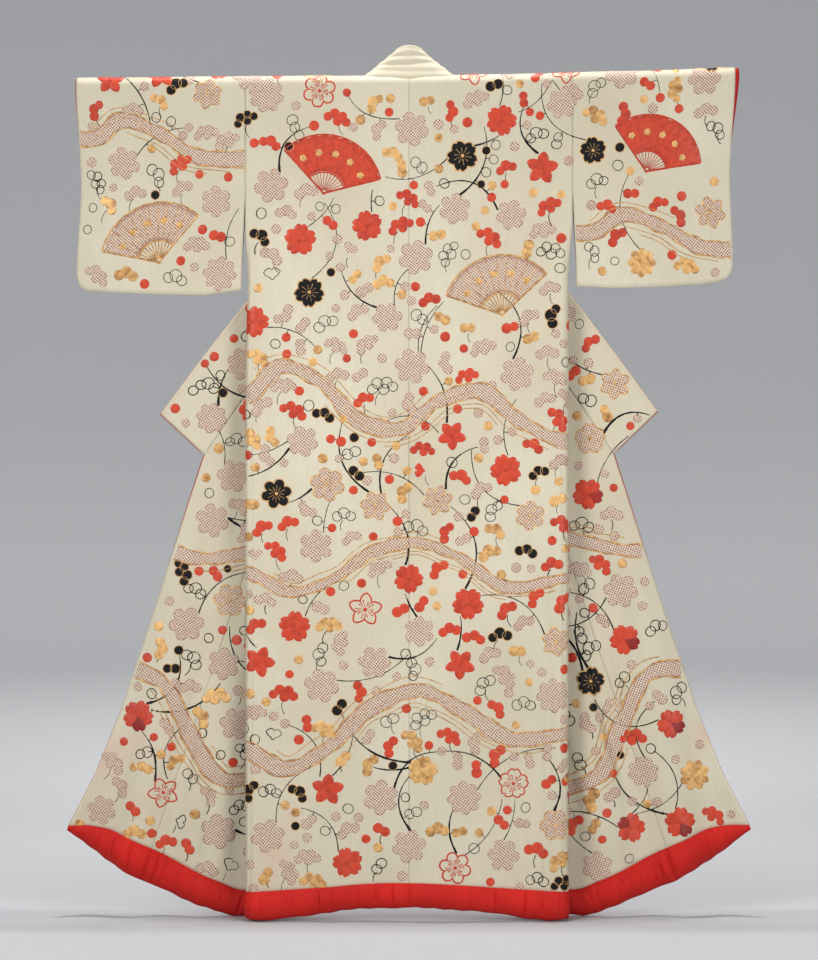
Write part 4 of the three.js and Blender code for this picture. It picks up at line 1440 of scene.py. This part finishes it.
def grow_twig(side, u, s, radius):
    """A curved twig out of a flower, thinning to its tip, with small motifs on both sides."""
    heading = draw.normal(-math.pi / 2, 0.9)
    size = draw.uniform(95, 165)
    bend = draw.uniform(0.12, 0.26) * (1 if draw.random() < 0.5 else -1)
    ray = polar(1, heading)
    path = curve(ray * radius * 0.9, ray * (radius + size), bend, 16)
    sign, direction = side["sign"], (-1 if s < 0 else 1)
    tips_u = u - sign * path[:, 0]
    tips_s = s + direction * path[:, 1]
    points, normals = on_robe(side, tips_u, tips_s)
    own = np.linalg.norm(path, axis=1) < radius + 16
    met = [not (near or ground.free(p, n, -12)) for near, p, n in zip(own, points, normals)]
    stopped = (room_to_edge(side, tips_u, tips_s) < 4) | np.array(met)
    long = int(np.argmax(stopped)) if stopped.any() else len(path)
    if long < 7:
        return
    path = path[:long]
    place = place_for(side, u, s)
    thick = draw.random() < 0.42
    width = np.linspace(5.6 if thick else 2.6, 1.9, len(path))
    width = width * (1 + 0.12 * np.sin(np.arange(len(path)) * 2.1))
    stitch(place, "thread_black", ribbon(path, width, 0.4), 0)
    beside = 1 if draw.random() < 0.5 else -1
    steps = np.gradient(path, axis=0)
    spots = []
    for share_along in (0.3, 0.46, 0.62, 0.8, 1.0):
        k = min(int(share_along * (len(path) - 1)), len(path) - 1)
        beside = -beside
        layout = "berry" if draw.random() < 0.5 else "pair"
        if share_along < 0.7 and draw.random() < 0.45:
            layout = "three"
        step = unit(steps[k])
        away = SMALL_REACH[layout] * 0.8 + draw.uniform(4, 9)
        off = quarter_turn(step) * beside * away
        if share_along == 1.0:
            off = step * SMALL_REACH[layout] * 0.75
        spots.append((k, layout, step, off, beside))
    places = np.array([path[spot[0]] + spot[3] for spot in spots])
    spot_u, spot_s = u - sign * places[:, 0], s + direction * places[:, 1]
    rooms = room_to_edge(side, spot_u, spot_s)
    points, normals = on_robe(side, spot_u, spot_s)
    for i, (k, layout, step, off, beside) in enumerate(spots):
        reach = SMALL_REACH[layout]
        if rooms[i] < reach + 2 or not ground.free(points[i], normals[i], reach * 0.8):
            continue
        ground.take(points[i], normals[i], reach * 0.8)
        stalk = curve(path[k], path[k] + off * 0.55, 0.1 * beside, 5)
        if k < len(path) - 1:
            stitch(place, "thread_black", ribbon(stalk, 2.0, 0.4), 0)
        finish = SMALL_FINISHES[draw.integers(len(SMALL_FINISHES))]
        turn = math.atan2(step[1], step[0]) + draw.normal(0, 0.3) + math.pi / 2
        spot = place_for(side, spot_u[i], spot_s[i])
        small_motif(spot, finish, layout, turn, draw.uniform(0.95, 1.1), draw)


def scatter_flowers():
    """Large flowers first, then one or two twigs out of each, then small motifs in what room is
    left. Black flowers and open ones keep their distance from one another."""
    flowers = scatter(26000, 58, 40, 5, 34)
    radii = []
    dark = Ground()
    for i, (side, u, s) in enumerate(flowers):
        finish = LARGE_FINISHES[(i * 7 + int(draw.integers(0, 3))) % len(LARGE_FINISHES)]
        if finish in ("black_gold", "open_vermilion"):
            spot, apart = spot_on_robe(side, u, s), 120 if finish == "black_gold" else 60
            if dark.free(*spot, apart):
                dark.take(*spot, apart)
            else:
                finish = "dotted"
        kind = KIND_FOR[finish][draw.integers(3)]
        radius = draw.uniform(29, 34) if finish != "dotted" else draw.uniform(30, 36)
        turn = draw.uniform(0, TAU)
        large_flower(place_for(side, u, s), finish, kind, radius, turn, draw)
        radii.append(radius)
    for (side, u, s), radius in zip(flowers, radii):
        grow_twig(side, u, s, radius)
        if draw.random() < 0.35:
            grow_twig(side, u, s, radius)
    for layouts, reach, seed, count in ((LAYOUTS, 22, 11, 34000), (["berry"], 13, 12, 16000)):
        for side, u, s in scatter(count, reach - 1, reach - 1, seed, reach + 3):
            layout = layouts[draw.integers(len(layouts))]
            finish = SMALL_FINISHES[draw.integers(len(SMALL_FINISHES))]
            place = place_for(side, u, s)
            turn = draw.normal(0, 0.7)
            small_motif(place, finish, layout, turn, draw.uniform(0.95, 1.1), draw)
            if draw.random() < 0.75 and layout != "berry":
                out = SMALL_REACH[layout]
                ray = np.array([math.sin(draw.uniform(-0.4, 0.4)), 1.0])
                stalk = curve(ray * 11, ray * (out + draw.uniform(6, 14)), 0.15, 7)
                tip_u = u - side["sign"] * stalk[-1, 0]
                tip_s = s + (-1 if s < 0 else 1) * stalk[-1, 1]
                if room_to_edge(side, tip_u, tip_s) > 5:
                    stitch(place, "thread_black", ribbon(stalk, 1.8, 0.35), 0)


scatter_flowers()

# One joined mesh for each cloth piece and finish
embroidery = {}
grouped = {}
for (sheet, slot, key), patches in stitched.items():
    u, s, lift, tone = (np.concatenate([p[k] for p in patches]) for k in (0, 1, 2, 4))
    side = SIDES[key]
    points, normals = on_face(side, u, s, sheet.startswith("sleeve"))
    points = points + normals * lift[:, None]
    triangles, quads, base = [], [], 0
    for patch in patches:
        for f in patch[3]:
            (triangles if f.shape[1] == 3 else quads).append(f + base)
        base += len(patch[0])
    flat = np.stack([u * side["sign"], s], axis=1)
    grouped.setdefault((sheet, slot), []).append((points, flat, tone, triangles, quads))
for (sheet, slot), parts in grouped.items():
    base, faces = 0, {3: [], 4: []}
    for points, _, _, triangles, quads in parts:
        for f in triangles + quads:
            faces[f.shape[1]].append(f + base)
        base += len(points)
    points, flat, tone = (np.concatenate([p[k] for p in parts]) for k in (0, 1, 2))
    thing = mesh_object(
        slot + "_on_" + sheet, points, [np.concatenate(f) for f in faces.values() if f],
        THREADS[slot], flat=flat, values={"tone": tone},
    )
    embroidery.setdefault(sheet, []).append(thing)

for name, (thing, cut, area) in sheets.items():
    width, length = cut[0] * MM, cut[1] * MM


# ---------------------------------------------------------------- floor, light and camera
def backdrop(floor):
    """A paper sweep, round so that every side sees the same: a floor, a bend and a wall turned
    about the upright axis. Its tone is a table by length along the profile, from the centre,
    and it is painted light and shade: darker round the centre and up the wall, lightest at the
    bend."""
    radius, bend, top = 10.6, 2.0, 4.2
    turn = np.linspace(0, math.pi / 2, 16)
    flat = np.linspace(0.02, radius - bend, 30)[:-1]
    out = np.concatenate([flat, radius - bend * (1 - np.sin(turn)), [radius]])
    up = np.concatenate([np.zeros(29), bend * (1 - np.cos(turn)), [top]])
    angle = np.linspace(0, TAU, 96, endpoint=False)
    ring = out[:, None]
    points = stacked(ring * np.cos(angle), ring * np.sin(angle), floor + up[:, None])
    run = np.concatenate([[0], np.cumsum(np.hypot(np.diff(out), np.diff(up)))])
    # Tone by run along the profile: painted light and shade, darker round the centre and up the wall,
    # lightest at the bend
    table = np.array([
        (0, 0), (0.5, 0.1), (0.9, 0.26), (1.4, 0.5), (3.0, 0.8), (5.2, 0.92),
        (7.5, 0.95), (8.6, 1), (9.8, 0.98), (11, 0.62), (12, 0.52), (14, 0.45),
    ])
    tone = np.interp(run, *table.T)
    material = bpy.data.materials.new("pale_paper_sweep")
    material.use_nodes = True
    tree = material.node_tree
    tree.nodes.clear()
    shade = add(tree, "Attribute", out=2, attribute_name="tone")
    colour = add(tree, "Mix", {0: shade, 6: "#b8babc", 7: "#f4f5f6"}, 2, **RGBA)
    sockets = {"Base Color": colour, "Roughness": 0.9, "Specular IOR Level": 0.2}
    add(tree, "OutputMaterial", {"Surface": add(tree, "BsdfPrincipled", sockets)})
    vertices = np.concatenate([points.reshape(-1, 3), [[0, 0, floor]]]) / MM
    count, around = len(angle), np.arange(len(angle))
    middle = np.stack([np.full(count, len(vertices) - 1), around, (around + 1) % count], axis=1)
    painted_light_tones = np.append(np.repeat(tone, count), tone[0])
    mesh_object(
        "backdrop", vertices, [grid_quads(len(out), count, closed=True), middle], material,
        values={"tone": painted_light_tones}, rides=False,
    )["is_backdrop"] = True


def area_light(name, place, aim, size, power, beam):
    lamp = bpy.data.lights.new(name, "AREA")
    lamp.size, lamp.energy, lamp.spread = size, power, math.radians(beam)
    thing = bpy.data.objects.new(name, lamp)
    thing.location = place
    direction = Vector(aim) - Vector(place)
    thing.rotation_euler = direction.to_track_quat("-Z", "Y").to_euler()
    bpy.context.scene.collection.objects.link(thing)


backdrop(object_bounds()[0][2] - 0.001)
area_light("key", (-2.6, -3.8, 0.5), (0, 0, -0.62), 1.6, 14.7, 52)
area_light("fill", (2.9, -4.0, 0.0), (0, 0, -0.62), 2.0, 14.5, 52)
area_light("top", (0, 0.05, 2.6), (0, 0.05, -1.7), 0.5, 44, 110)
area_light("wall_wash", (0, 3.5, 3.3), (0, 8.4, -1.6), 3.0, 138, 180)

world = bpy.data.worlds.new("studio")
world.use_nodes = True
glow = world.node_tree.nodes["Background"]
glow.inputs["Color"].default_value = linear("#d6d8dc")
glow.inputs["Strength"].default_value = 0.33
bpy.context.scene.world = world
bpy.context.scene.view_settings.view_transform = "Standard"

VIEW_DISTANCE = 6.0
VIEW_LENGTH = 1.92  # metres that fill the picture's long side
SENSOR = 36
camera = bpy.data.cameras.new("camera")
camera.sensor_fit = "AUTO"
camera.sensor_width = SENSOR
camera.lens = SENSOR * VIEW_DISTANCE / VIEW_LENGTH
camera_object = bpy.data.objects.new("camera", camera)
camera_object.location = (0, -VIEW_DISTANCE, -0.808)
camera_object.rotation_euler = (math.pi / 2, 0, 0)
bpy.context.scene.collection.objects.link(camera_object)
bpy.context.scene.camera = camera_object
